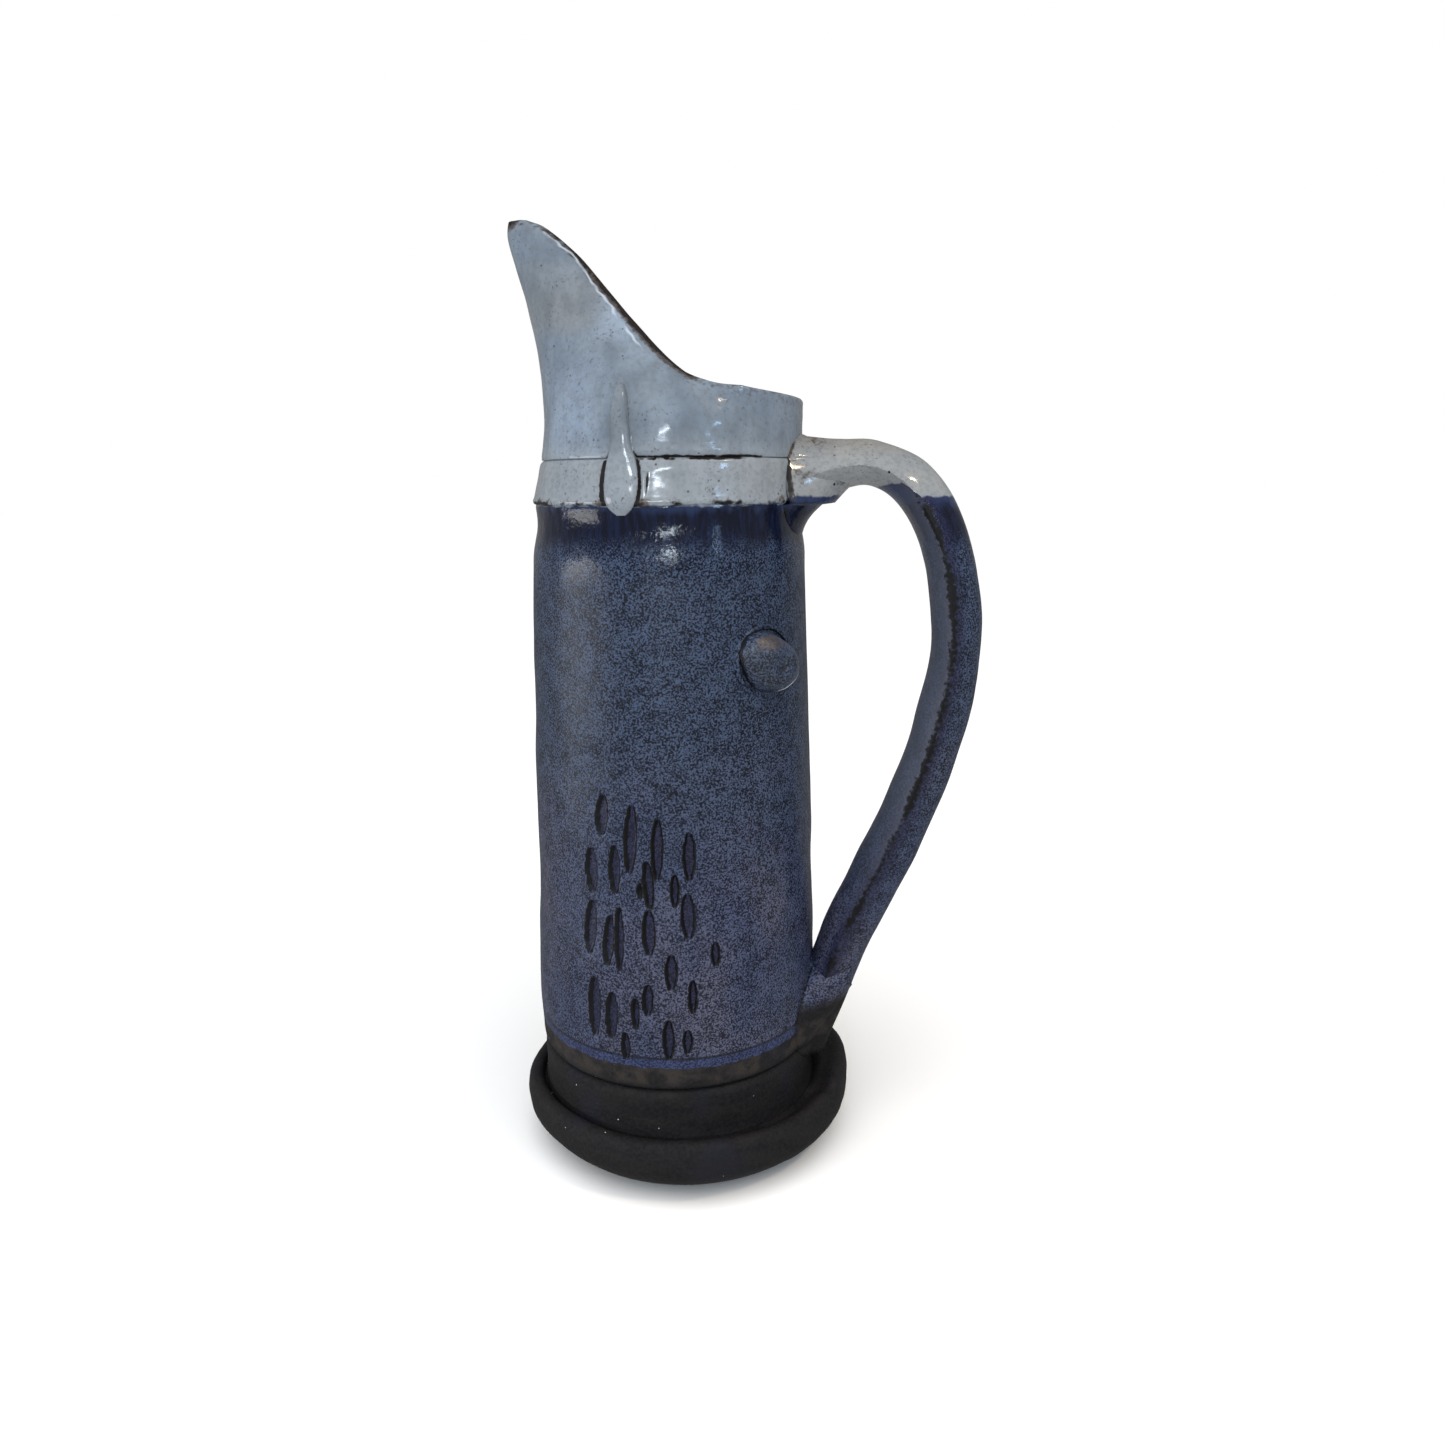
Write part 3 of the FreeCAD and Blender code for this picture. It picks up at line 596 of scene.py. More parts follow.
def tube_recipe():
    """Geometry nodes: turn the outline round Z, finest at the front, then press every cut."""
    tree = bpy.data.node_groups.new("tall_tube_recipe", "GeometryNodeTree")
    tree.interface.new_socket("Tube", in_out="OUTPUT", socket_type="NodeSocketGeometry")
    for name, kind in (
        ("Outline", "Geometry"), ("Cuts", "Object"), ("Rows", "Int"), ("Columns", "Int"),
        ("Front fineness", "Float"), ("Unevenness", "Float"), ("Cut depth", "Float"),
        ("Lip width", "Float"), ("Raggedness", "Float"), ("Glaze", "Material"),
    ):
        tree.interface.new_socket(name, in_out="INPUT", socket_type=f"NodeSocket{kind}")
    given = {socket.name: Answer(socket) for socket in wire(tree, "NodeGroupInput").outputs}
    columns = given["Columns"] + 1.0
    grid = ask(tree, "GeometryNodeMeshGrid", {"Vertices X": given["Rows"], "Vertices Y": columns})
    index = ask(tree, "GeometryNodeInputIndex")
    row = reckon("FLOOR", (index + 0.5) / columns)
    column = index - row * columns
    place = ask(tree, "GeometryNodeInputPosition")
    radius, _, height = split(tree, sampled(tree, given["Outline"], place, row))
    outside = sampled(tree, given["Outline"], carried(tree, "outside"), row, "FLOAT")
    turn = column / given["Columns"] * math.tau - math.pi
    turn = turn - reckon("SINE", turn) * given["Front fineness"] - math.pi / 2
    x, y = radius * reckon("COSINE", turn), radius * reckon("SINE", turn)
    rolled = ask(tree, "ShaderNodeCombineXYZ", {0: x, 1: y, 2: height})
    tube = stored(tree, grid, "outside", outside)
    tube = ask(tree, "GeometryNodeSetPosition", {"Geometry": tube, "Position": rolled})
    tube = ask(tree, "GeometryNodeMergeByDistance", {"Geometry": tube, "Distance": 0.000005})
    tube = stored(tree, stored(tree, tube, "pool", 0.0), "dark", 0.0)
    tube = uneven(tree, press_all_cuts(tree, tube, given), given)
    tube = ask(tree, "GeometryNodeSetShadeSmooth", {"Geometry": tube})
    tube = ask(tree, "GeometryNodeRealizeInstances", {"Geometry": tube})
    tube = ask(tree, "GeometryNodeSetMaterial", {"Geometry": tube, "Material": given["Glaze"]})
    wire(tree, "NodeGroupOutput", {0: tube})
    return tree


def as_plain_mesh(piece, recipe, figures, name):
    """Run a recipe on a piece and keep the outcome as an ordinary mesh."""
    modifier = piece.modifiers.new("recipe", "NODES")
    modifier.node_group = recipe
    for socket in recipe.interface.items_tree:
        if socket.in_out == "INPUT" and socket.name in figures:
            modifier[socket.identifier] = figures[socket.name]
    graph = bpy.context.evaluated_depsgraph_get()
    mesh = bpy.data.meshes.new_from_object(piece.evaluated_get(graph))
    mesh.name = name
    piece.modifiers.remove(modifier)
    return mesh


tube_glaze = fired_surface("blue_glaze_tube")
tube = as_plain_mesh(outline_piece, tube_recipe(), {
    "Cuts": cuts_piece, "Rows": len(section), "Columns": 360, "Front fineness": 0.55,
    "Unevenness": 0.0022, "Cut depth": 0.0012, "Lip width": 0.00066, "Raggedness": 0.0010,
    "Glaze": tube_glaze,
}, "tall_tube")
set_in_place(tube, tube_glaze, "body_wall")
for helper in (outline_piece, cuts_piece):
    bpy.data.objects.remove(helper)


# The collar: a short tapered band of clay lapped over the tube's neck, with a thinned upper
# edge that stands inside the spout. Its lower edge is uneven, and the white glaze breaks
# brown along it and along the lap joint above.
COLLAR_SIDE = [
    (0.0412, 0.2189), (0.0424, 0.2186), (0.0431, 0.2189), (0.0434, 0.2198), (0.0431, 0.2214),
    (0.0427, 0.2240), (0.0423, 0.2272), (0.0420, 0.2300), (0.0416, 0.2315), (0.0407, 0.2324),
    (0.0388, 0.2326), (0.0386, 0.2350), (0.0384, 0.2376), (0.0368, 0.2378), (0.0366, 0.2350),
    (0.0370, 0.2310), (0.0378, 0.2260), (0.0383, 0.2240), (0.0408, 0.2235), (0.0411, 0.2215),
]
NECK_TOP = 0.2186
SEAM = 0.2326
UPPER_SHIFT = 0.0015
STRAP_TURN = math.radians(-109.0)
STRAP_HALF_WIDTH = [
    (0.2150, 0.0000), (0.2166, 0.0017), (0.2180, 0.0034), (0.2200, 0.0046), (0.2240, 0.0053),
    (0.2280, 0.0051), (0.2320, 0.0042), (0.2346, 0.0033), (0.2400, 0.0028), (0.2460, 0.0024),
    (0.2510, 0.0016), (0.2545, 0.0000),
]


def past_strap(points):
    """How far round each point lies from the joint strap's middle line."""
    turn = np.arctan2(points[..., 1], points[..., 0])
    return (turn - STRAP_TURN) * np.hypot(points[..., 0], points[..., 1])


def strap_crease_shade(points):
    """Painted shade: dark lines in the creases along both edges of the strap on the front, where glaze also
    pools.
    """
    along = past_strap(points)
    beside = np.abs(along) - through(points[..., 2], STRAP_HALF_WIDTH)
    line = hump(beside + 0.0004 * waver(points, 0.003, 27), 0.0004, 0.0016)
    line *= np.clip(hump(points[..., 2], 0.2250, 0.0135) * 2.2, 0.0, 1.0)
    # Painted shade in the crease beside the collar's ridge, right of the strap.
    pinch_line = hump(along, 0.0081, 0.0007) * hump(points[..., 2], 0.2262, 0.0068)
    return (points[..., 1] < 0) * np.maximum(line, pinch_line)


def lap_joint(points, angles, height, reach, seed):
    """The dark line of the lap joint, strongest on the front between the strap and the handle."""
    degrees = np.degrees(angles)
    beyond_strap = np.clip((degrees + 118) / 12, 0.3, 1.0) * (angles < 0) + 0.5 * (angles >= 0)
    before_handle = np.clip((-44 - degrees) / 12, 0.25, 1.0)
    worn = np.clip(0.75 + 0.6 * waver(points, 0.004, seed), 0.2, 1.0)
    return hump(points[..., 2], height, reach) * beyond_strap * before_handle * worn


profile = dense(COLLAR_SIDE, 120)
shift = UPPER_SHIFT * ramp(profile[:, 1], NECK_TOP, SEAM)
collar = turned_rows(profile, 400, shift)
angles = np.arctan2(collar[..., 1], collar[..., 0])
radius = np.hypot(collar[..., 0], collar[..., 1])
outside = ramp(radius, 0.0395, 0.0415)
low_edge = outside * hump(collar[..., 2], NECK_TOP, 0.0030)
collar[..., 2] += low_edge * (0.0007 * waver(collar * [1, 1, 0.1], 0.016, 21) + 0.0003)
push = outside * (0.00045 * waver(collar, 0.02, 22) + 0.00012 * waver(collar, 0.005, 23))
ridge = hump(past_strap(collar), 0.0071, 0.0011) * hump(collar[..., 2], 0.2255, 0.0085)
push += outside * 0.0007 * ridge * (collar[..., 1] < 0)
push_out(collar, push)
joint = outside * lap_joint(collar, angles, SEAM - 0.0002, 0.0013, 28)
foot_line = outside * hump(collar[..., 2], NECK_TOP + 0.0009, 0.0017)
foot_line *= np.clip(0.46 + 0.4 * waver(collar, 0.005, 25), 0.0, 1.0)
foot_stain = outside * hump(collar[..., 2], NECK_TOP + 0.0010, 0.0040)
foot_stain *= np.clip(0.45 + 0.5 * waver(collar, 0.006, 26), 0.0, 1.0)
collar_marks = {
    # This dark mark joins painted crease shade beside the strap to the real glaze breaks.
    "dark": np.maximum.reduce([joint, foot_line, strap_crease_shade(collar) * outside]),
    "brown": np.maximum(foot_stain, joint),
    "warm": outside * (0.35 + 0.25 * waver(collar, 0.02, 24)),
}
set_in_place(
    clay_mesh("collar", collar, looped=True, marks=collar_marks),
    fired_surface("white_glaze_collar", white_from=0.2190, warmth=0.08, shine=0.5),
    "collar_band")


# The spout: a slab wrapped into a skirt that laps over the collar, cut along a sweeping
# curve, and drawn up into a tall beak. Its foot edge is rolled, its rim leans inwards, and
# the clay shows dark brown where the glaze ran thin along the rim.
SPOUT_RISE = (0.0, 0.0135, 0.0225, 0.0315, 0.0425, 0.0535, 0.0645, 0.0730)
SPOUT_LEAN = (0.0, -0.0015, -0.0012, -0.0003, 0.0018, 0.0039, 0.0069, 0.0089)
SPOUT_TAPER = (0.0, 0.0010, 0.0017, 0.0038, 0.0100, 0.0163, 0.0240, 0.0315)
SPOUT_PINCH = (0.0, 0.0008, 0.0044, 0.0098, 0.0106, 0.0098, 0.0076, 0.0034)
SKIRT = 0.0418
SPOUT_WALL = 0.0040
SKIRT_WALL = 0.0052
RIM_LINE = [
    (-0.0560, 0.3029), (-0.0400, 0.3026), (-0.0360, 0.3017), (-0.0318, 0.2990), (-0.0266, 0.2944),
    (-0.0150, 0.2805), (-0.0038, 0.2671), (0.0020, 0.2611), (0.0080, 0.2566), (0.0145, 0.2533),
    (0.0220, 0.2514), (0.0320, 0.2500), (0.0440, 0.2490), (0.0600, 0.2486),
]
RIM_BREAK = [
    (-0.060, 1.0), (-0.0465, 1.0), (-0.043, 0.55), (-0.034, 0.62), (-0.024, 0.8), (-0.010, 1.0),
    (0.002, 1.0), (0.0075, 0.75), (0.011, 0.30), (0.030, 0.22), (0.060, 0.25),
]


def spout_section(turn, height):
    """Point of the outer surface at an angle and a height."""
    rise = height - SEAM
    lean = through(rise, list(zip(SPOUT_RISE, SPOUT_LEAN)))
    taper = through(rise, list(zip(SPOUT_RISE, SPOUT_TAPER)))
    pinch = through(rise, list(zip(SPOUT_RISE, SPOUT_PINCH)))
    half = SKIRT - taper
    x = UPPER_SHIFT - taper - lean + half * np.cos(turn)
    return np.stack([x, (half - pinch) * np.sin(turn), height + 0.0 * turn], -1)


def rim_curve(count):
    """Points of the rim from the beak's tip to the back, evenly spaced, with their angles."""
    x = np.linspace(-0.0520, 0.0480, 4000)
    z = through(x, RIM_LINE)
    centre = spout_section(math.pi / 2, z)[:, 0]
    half = spout_section(0.0, z)[:, 0] - centre
    share = (x - centre) / half
    kept = np.abs(share) <= 1.0
    turn, z = np.arccos(share[kept]), z[kept]
    turn[0], turn[-1] = math.pi, 0.0
    points = spout_section(turn, z)
    run = np.append(0.0, np.cumsum(np.linalg.norm(np.diff(points, axis=0), axis=1)))
    even = np.linspace(0.0, run[-1], count)
    return np.interp(even, run, turn), np.interp(even, run, z)


rim_turn, rim_height = rim_curve(171)
foot_turn = np.linspace(math.pi, 0.0, 171)
rim_turn = np.concatenate([rim_turn, -rim_turn[-2:0:-1]])
rim_height = np.concatenate([rim_height, rim_height[-2:0:-1]])
foot_turn = np.concatenate([foot_turn, -foot_turn[-2:0:-1]])
rim_points = spout_section(rim_turn, rim_height)
share = np.linspace(0.0, 1.0, 112)[:, None]
share = 0.62 * share + 0.38 * (0.5 - 0.5 * np.cos(math.pi * share))
height_grid = SEAM + share * (rim_height - SEAM)
turn_grid = foot_turn + (rim_turn - foot_turn) * share ** 1.3
outer = spout_section(turn_grid, height_grid)
rim_reach = np.stack([
    np.linalg.norm(row[:, None] - rim_points[None], axis=-1).min(1) for row in outer])


def outward_of(points):
    """Unit vectors that point out of a surface given as rows of points."""
    up = np.gradient(points, axis=0)
    round_it = np.roll(points, -1, 1) - np.roll(points, 1, 1)
    normal = np.cross(round_it, up)
    away = points - points.mean(1, keepdims=True)
    normal *= np.sign((normal * away).sum())
    return normal / np.maximum(np.linalg.norm(normal, axis=-1, keepdims=True), 1e-12)


outward = outward_of(outer)
skirt_height = outer[..., 2] - SEAM
beak_side = ramp(outer[..., 0], 0.022, 0.006)
roll_in = -0.0016 * beak_side * ramp(rim_reach, 0.0062, 0.0) ** 2
roll_in += 0.0011 * (1.0 - beak_side) * ramp(rim_reach, 0.0080, 0.0) ** 2
degrees = np.degrees(np.arctan2(outer[..., 1], outer[..., 0]))
right_hand = np.clip((degrees + 122) / 12, 0.25, 1.0) * np.clip((-44 - degrees) / 12, 0.3, 1.0)
tuck = -0.0010 * right_hand * ramp(skirt_height, 0.0022, 0.0) ** 2.2
uneven_by = 0.0007 * waver(outer, 0.026, 31) + 0.00016 * waver(outer, 0.007, 32)

# A thin ragged bead of glaze runs just inside the rim of the beak, on the front side only; the pale colour
# laid along it is a painted highlight.
BEAD_INSET = [(0.255, 0.0052), (0.264, 0.0050), (0.288, 0.0024), (0.300, 0.0014)]
bead_middle = through(outer[..., 2], BEAD_INSET)
ragged_reach = rim_reach + 0.0008 * waver(outer, 0.006, 37) + 0.0007 * waver(outer, 0.0025, 39)
bead = hump(ragged_reach, bead_middle, 0.0009) * (outer[..., 2] > 0.2620) * (outer[..., 2] < 0.2995)
bead *= np.clip(0.75 + 1.1 * waver(outer, 0.005, 40), 0.0, 1.0)
uneven_by += 0.00045 * bead * (outer[..., 1] < 0)

quiet = ramp(skirt_height, 0.0, 0.004) * ramp(rim_reach, 0.0, 0.004)
outer = outer + outward * (roll_in + tuck + uneven_by * quiet - 0.0003)[..., None]
outer[..., 2] -= 0.0004 * ramp(rim_reach, 0.004, 0.0) * (1 + waver(outer, 0.012, 33)) * beak_side
wall = np.where(skirt_height < 0.0135, SKIRT_WALL, SPOUT_WALL)[..., None]
inner = outer - outward * wall

up = np.gradient(outer, axis=0)[-1]
up /= np.linalg.norm(up, axis=-1, keepdims=True)
lip_angles = np.linspace(0.0, math.pi, 9)[1:-1]
lip_middle = (outer[-1] + inner[-1]) / 2
lip_arm = (outer[-1] - inner[-1]) / 2
lip_lift = up * np.linalg.norm(lip_arm, axis=-1, keepdims=True) * 0.8
lip = np.stack([lip_middle + lip_arm * math.cos(a) + lip_lift * math.sin(a) for a in lip_angles])
inner_rows = inner[::-2]
spout = np.concatenate([outer, lip, inner_rows])
spout[..., 2] = np.minimum(spout[..., 2], cad_high.z - 0.0003)

angles = np.arctan2(spout[..., 1], spout[..., 0] - UPPER_SHIFT)
degrees, height = np.degrees(angles), spout[..., 2]
front = spout[..., 1] < 0
outer_side = np.repeat([1.0, 0.0], [len(outer) + len(lip), len(inner_rows)])[:, None]
rim_strength = through(spout[..., 0], RIM_BREAK)
reach_all = np.concatenate([rim_reach, np.zeros((len(lip), len(foot_turn))), rim_reach[::-2]])
rim_band = np.clip(1.22 - reach_all / 0.0028, 0.0, 1.0) * rim_strength
rim_band *= np.clip(0.85 + 0.5 * waver(spout, 0.006, 36), 0.3, 1.0)
rim_stain = np.clip(1.4 - reach_all / 0.0034, 0.0, 1.0) * np.clip(rim_strength, 0.42, 1.0)
joint = outer_side * lap_joint(spout, angles, SEAM, 0.0011, 38)
patch = 0.5 * hump(degrees, -152, 40) * ramp(height, 0.2670, 0.2720) * ramp(height, 0.2930, 0.2790)
# Painted light: paler cloudy patches on the spout's front and front-left, where it is lit.
milky = 0.9 * hump(degrees, -108, 46) * hump(height, 0.279, 0.030)
milky += 0.7 * hump(degrees, -140, 34) * hump(height, 0.243, 0.020)
# Painted highlight along the rim bead, on the front.
bead_highlight = np.concatenate([bead, np.zeros((len(lip) + len(inner_rows), len(foot_turn)))]) * front
spout_marks = {
    "milky": milky * outer_side,
    # Painted highlight along the rim bead.
    "thin": np.clip(bead_highlight * 1.6 - 0.5, 0.0, 1.0) * 0.7,
    # This dark mark joins painted crease shade beside the strap to the real rim and joint breaks.
    "dark": np.maximum.reduce([rim_band, joint, strap_crease_shade(spout) * outer_side * 0.9]),
    "brown": np.maximum(rim_stain, joint),
    "warm": patch * outer_side,
}
set_in_place(
    clay_mesh("beak_spout", spout, looped=True, marks=spout_marks),
    fired_surface("white_glaze_spout", white_from=0.2100, shine=0.5), "spout")


# The joint strap: a tongue of clay pressed over the lap joint with a thumb, round at the
# bottom and drawn out thin above, which hides where the two ends of the slab meet.
STRAP_HALF_THICKNESS = [
    (0.2150, 0.0000), (0.2166, 0.0010), (0.2185, 0.0021), (0.2206, 0.0027), (0.2256, 0.0030),
    (0.2346, 0.0026), (0.2446, 0.0022), (0.2526, 0.0012), (0.2545, 0.0000),
]
STRAP_STAND = [
    (0.2150, 0.0412), (0.2192, 0.0415), (0.2256, 0.0406), (0.2346, 0.0402), (0.2446, 0.0395),
    (0.2526, 0.0373), (0.2545, 0.0368),
]
heights = np.linspace(0.2163, 0.2528, 90)
section_turns = np.linspace(-math.pi, math.pi, 72, endpoint=False)
out_by = through(heights, STRAP_STAND)[:, None] + UPPER_SHIFT * 0.4
flattened = np.sign(np.cos(section_turns)) * np.abs(np.cos(section_turns)) ** 0.55
thick = through(heights, STRAP_HALF_THICKNESS)[:, None] * flattened
aside = through(heights, STRAP_HALF_WIDTH)[:, None] * np.sin(section_turns)
up_the_strap = (heights[:, None] - heights[0]) / (heights[-1] - heights[0])
aside = aside + 0.0005 * np.sin(up_the_strap * 5.0)
strap_out = np.array([math.cos(STRAP_TURN), math.sin(STRAP_TURN), 0.0])
strap_aside = np.array([-math.sin(STRAP_TURN), math.cos(STRAP_TURN), 0.0])
strap = (out_by + thick)[..., None] * strap_out + aside[..., None] * strap_aside
strap[..., 2] += heights[:, None]
strap = strap + strap_out * (0.0004 * waver(strap, 0.008, 41))[..., None]
# Painted shade along the tongue's edges, where it meets the wall.
strap_edge_shade = ramp(np.abs(np.cos(section_turns)), 0.42, 0.0) * hump(heights, 0.2245, 0.016)[:, None]
strap_marks = {"dark": strap_edge_shade, "warm": np.full_like(strap_edge_shade, 0.15)}
set_in_place(
    clay_mesh("joint_tongue", strap, marks=strap_marks),
    fired_surface("white_glaze_tongue", white_from=0.2100, shine=0.5), "joint_strap")


# The handle: a strap of clay pulled by hand into a lens section, bowed out from the foot
# band to the collar. The glaze breaks dark along its sharp edges, white above and blue below.
BODY_RADIUS = 0.0478
HANDLE_TURN = math.radians(-12.0)
HANDLE_FOOT = 0.0320
HANDLE_SPAN = 0.1961
HANDLE_SECTIONS = [
    (-0.0033, 0.000, 0.0160, 0.0200), (0.0108, 0.204, 0.0172, 0.0205), (0.0210, 0.321, 0.0176, 0.0205),
    (0.0321, 0.454, 0.0171, 0.0210), (0.0409, 0.597, 0.0168, 0.0215), (0.0448, 0.724, 0.0160, 0.0220),
    (0.0429, 0.837, 0.0156, 0.0225), (0.0377, 0.921, 0.0152, 0.0235), (0.0295, 0.982, 0.0148, 0.0245),
    (0.0186, 1.012, 0.0136, 0.0255), (0.0080, 1.013, 0.0156, 0.0265), (-0.0050, 1.000, 0.0240, 0.0280),
]
HANDLE_OUT = np.array([math.cos(HANDLE_TURN), math.sin(HANDLE_TURN), 0.0])
HANDLE_ASIDE = np.array([-math.sin(HANDLE_TURN), math.cos(HANDLE_TURN), 0.0])
UPWARD = np.array([0.0, 0.0, 1.0])
THUMB_DENT = np.array([0.0440, -0.0262, 0.2345])
THUMB_SIZE = np.array([0.0075, 0.0075, 0.0048])


def handle_rows(count, around):
    """Rows of the handle's skin, with each point's distance from its nearer sharp edge."""
    numbers = np.arange(len(HANDLE_SECTIONS), dtype=float)
    places = np.linspace(0.0, numbers[-1], count)
    reach, share, thick, wide = (
        through(places, list(zip(numbers, column))) for column in np.array(HANDLE_SECTIONS).T)
    out, rise = BODY_RADIUS + reach, HANDLE_FOOT + share * HANDLE_SPAN
    along_out, along_up = np.gradient(out), np.gradient(rise)
    size = np.hypot(along_out, along_up)
    face_out, face_up = along_up / size, -along_out / size
    turn = np.linspace(0.0, 2 * math.pi, around, endpoint=False)
    turn = turn + 0.32 * np.sin(2 * turn)
    depth = np.sign(np.cos(turn)) * np.abs(np.cos(turn)) ** 1.65
    aside = np.sin(turn)
    flat = thick[:, None] * (np.where(depth > 0, 0.59, 0.41) * depth - 0.09)
    rows = (
        (out[:, None] + flat * face_out[:, None])[..., None] * HANDLE_OUT
        + (wide[:, None] / 2 * aside)[..., None] * HANDLE_ASIDE
        + (rise[:, None] + flat * face_up[:, None])[..., None] * UPWARD
    )
    from_edge = np.hypot(thick[:, None] / 2 * depth, wide[:, None] / 2 * (1 - np.abs(aside)))
    inner_face = np.clip(0.4 - depth * 5.0, 0.0, 1.0) * ramp(reach[:, None], 0.012, 0.034)
    return rows, from_edge, inner_face


def thumb_dent(points):
    """How deep the potter's thumb went beside the handle's root, 0 to 1."""
    offset = (points - THUMB_DENT) / THUMB_SIZE
    return np.exp(-(offset ** 2).sum(-1) * 1.2)


handle, from_edge, inner_face = handle_rows(300, 120)
outward = outward_of(handle)
knead = 0.0006 * waver(handle, 0.018, 51) + 0.00008 * waver(handle, 0.006, 52)
handle = handle + outward * knead[..., None]
handle = handle - outward * (0.0016 * thumb_dent(handle))[..., None]
edge_line = np.clip(0.95 - from_edge / 0.0042, 0.0, 1.0)
edge_line = edge_line * np.clip(0.78 + 0.4 * waver(handle, 0.012, 53), 0.4, 1.0)
near_root = hump(np.hypot(handle[..., 0], handle[..., 1]), 0.044, 0.014) * (handle[..., 2] > 0.2)
white_part = ramp(handle[..., 2], 0.2190, 0.2230)
stains = white_part * (0.16 + 0.30 * waver(handle, 0.012, 54)) + near_root * 0.3
handle_marks = {
    "dark": edge_line * (0.85 - 0.5 * white_part),
    "brown": np.maximum(edge_line * 0.6 * white_part, stains),
    "warm": white_part * 0.9,
    "under": inner_face,
    "pool": np.clip(1.5 - from_edge / 0.0034, 0.0, 1.0) * 0.9,
}
set_in_place(
    clay_mesh("handle_strap", handle, marks=handle_marks),
    fired_surface("glaze_handle", glaze_from=0.0525, white_from=0.2205, warmth=0.25, fade=0.0030),
    "handle")


# The two coils: rolls of clay luted round the ends of the handle and smeared towards the
# wall. The upper one shows a thumb dent and a crease; the lower one is left bare and dark.
HUB_SHARE = 0.30
COIL_ROUNDS = np.linspace(-math.pi, math.pi, 160, endpoint=False)
COIL_STEPS = np.linspace(0.0, 1.0, 34)


def wall_at(turn, height):
    """Radius of the outside of the pitcher at an angle and a height."""
    tube = through(np.clip(height, 0.0372, NECK_TOP), WALL_SIDE)
    band = through(np.clip(height, 0.0200, 0.0360), [(z, r) for r, z in BAND_SIDE[4:11]])
    collar = 0.0444 - (height - NECK_TOP) / (SEAM - NECK_TOP) * 0.0030
    upper = np.where(height > SEAM, SKIRT, collar) + UPPER_SHIFT * np.cos(turn)
    wall = np.where(height > NECK_TOP, upper, tube)
    return np.where(height < WALL_FOOT, band, wall)


def smeared_coil(middle_up, half_wide, half_high, proud, wall_radius, hub_rise, seed):
    """Ring of clay round a handle end: low at its outer edge, climbing up against the handle."""
    rounds, steps = COIL_ROUNDS, COIL_STEPS
    reach = HUB_SHARE + (1.0 - HUB_SHARE) * steps
    blob = 1.0 + 0.05 * np.sin(2 * rounds + seed) + 0.035 * np.sin(3 * rounds + 2.1 * seed)
    aside = half_wide * reach[:, None] * np.cos(rounds) * blob
    up = half_high * reach[:, None] * np.sin(rounds) * blob
    rounded = np.sqrt(np.clip(1.0 - steps ** 5, 0.0, 1.0))
    lift = 0.0013 * rounded + proud * (1.0 - steps) ** 1.6
    turn = HANDLE_TURN + aside / wall_radius
    height = middle_up + up + hub_rise * (1.0 - steps[:, None])
    rough = np.stack([np.cos(turn) * wall_radius, np.sin(turn) * wall_radius, height], -1)
    surface = wall_at(turn, height)
    skin = surface + lift[:, None] * (1.0 + 0.12 * waver(rough, 0.010, seed))
    under = surface - 0.0010
    rows = [np.stack([np.cos(turn) * r, np.sin(turn) * r, height], -1) for r in (skin, under)]
    return np.concatenate([rows[0], rows[1][::-3]])


root_coil = smeared_coil(
    middle_up=0.2238, half_wide=0.0190, half_high=0.0148, proud=0.0148, wall_radius=0.0433,
    hub_rise=0.0060, seed=61)
root_coil = root_coil - HANDLE_OUT * (0.0022 * thumb_dent(root_coil))[..., None]
near_side = np.clip(-1.5 * np.cos(COIL_ROUNDS) - 0.2, 0.1, 1.0)
root_edge = np.zeros(root_coil.shape[:2])
root_edge[:len(COIL_STEPS)] = hump(COIL_STEPS, 1.0, 0.16)[:, None] * near_side
stains = np.clip(0.35 + 0.5 * waver(root_coil, 0.008, 62), 0.0, 1.0) * (1.0 - thumb_dent(root_coil))
root_marks = {
    "dark": root_edge * np.clip(0.6 + 0.6 * waver(root_coil, 0.01, 63), 0.2, 1.0),
    "brown": np.maximum(root_edge, stains) * ramp(root_coil[..., 2], 0.2190, 0.2200),
    "warm": np.full_like(root_edge, 0.9),
}
set_in_place(
    clay_mesh("root_coil", root_coil, looped=True, marks=root_marks),
    fired_surface("white_glaze_root_coil", white_from=0.2208, warmth=0.15, shine=0.5),
    "handle_root_coil")

foot_coil = smeared_coil(
    middle_up=0.0455, half_wide=0.0180, half_high=0.0195, proud=0.0120, wall_radius=0.0480,
    hub_rise=0.0150, seed=71)
foot_edge = np.zeros(foot_coil.shape[:2])
foot_edge[:len(COIL_STEPS)] = hump(COIL_STEPS, 1.0, 0.14)[:, None]
set_in_place(
    clay_mesh("foot_coil", foot_coil, looped=True, marks={"dark": foot_edge * 0.6}),
    fired_surface("glaze_foot_coil", glaze_from=0.0535, fade=0.0030), "handle_foot_coil")


# The boss: a flattened pellet of clay pressed into a shallow seat on the tube, tipped to one
# side. Its right rim is pinched thin, so that the glaze breaks pale along it.
BOSS_TURN = math.radians(-50.3)
BOSS_HEIGHT = 0.1722
BOSS_TILT = math.radians(-25.0)
BOSS_OUT = np.array([math.cos(BOSS_TURN), math.sin(BOSS_TURN), 0.0])
BOSS_ASIDE = np.array([-math.sin(BOSS_TURN), math.cos(BOSS_TURN), 0.0])
LONG_WAY = BOSS_ASIDE * math.cos(BOSS_TILT) + UPWARD * math.sin(BOSS_TILT)
SHORT_WAY = UPWARD * math.cos(BOSS_TILT) - BOSS_ASIDE * math.sin(BOSS_TILT)
BOSS_WALL = 0.0449


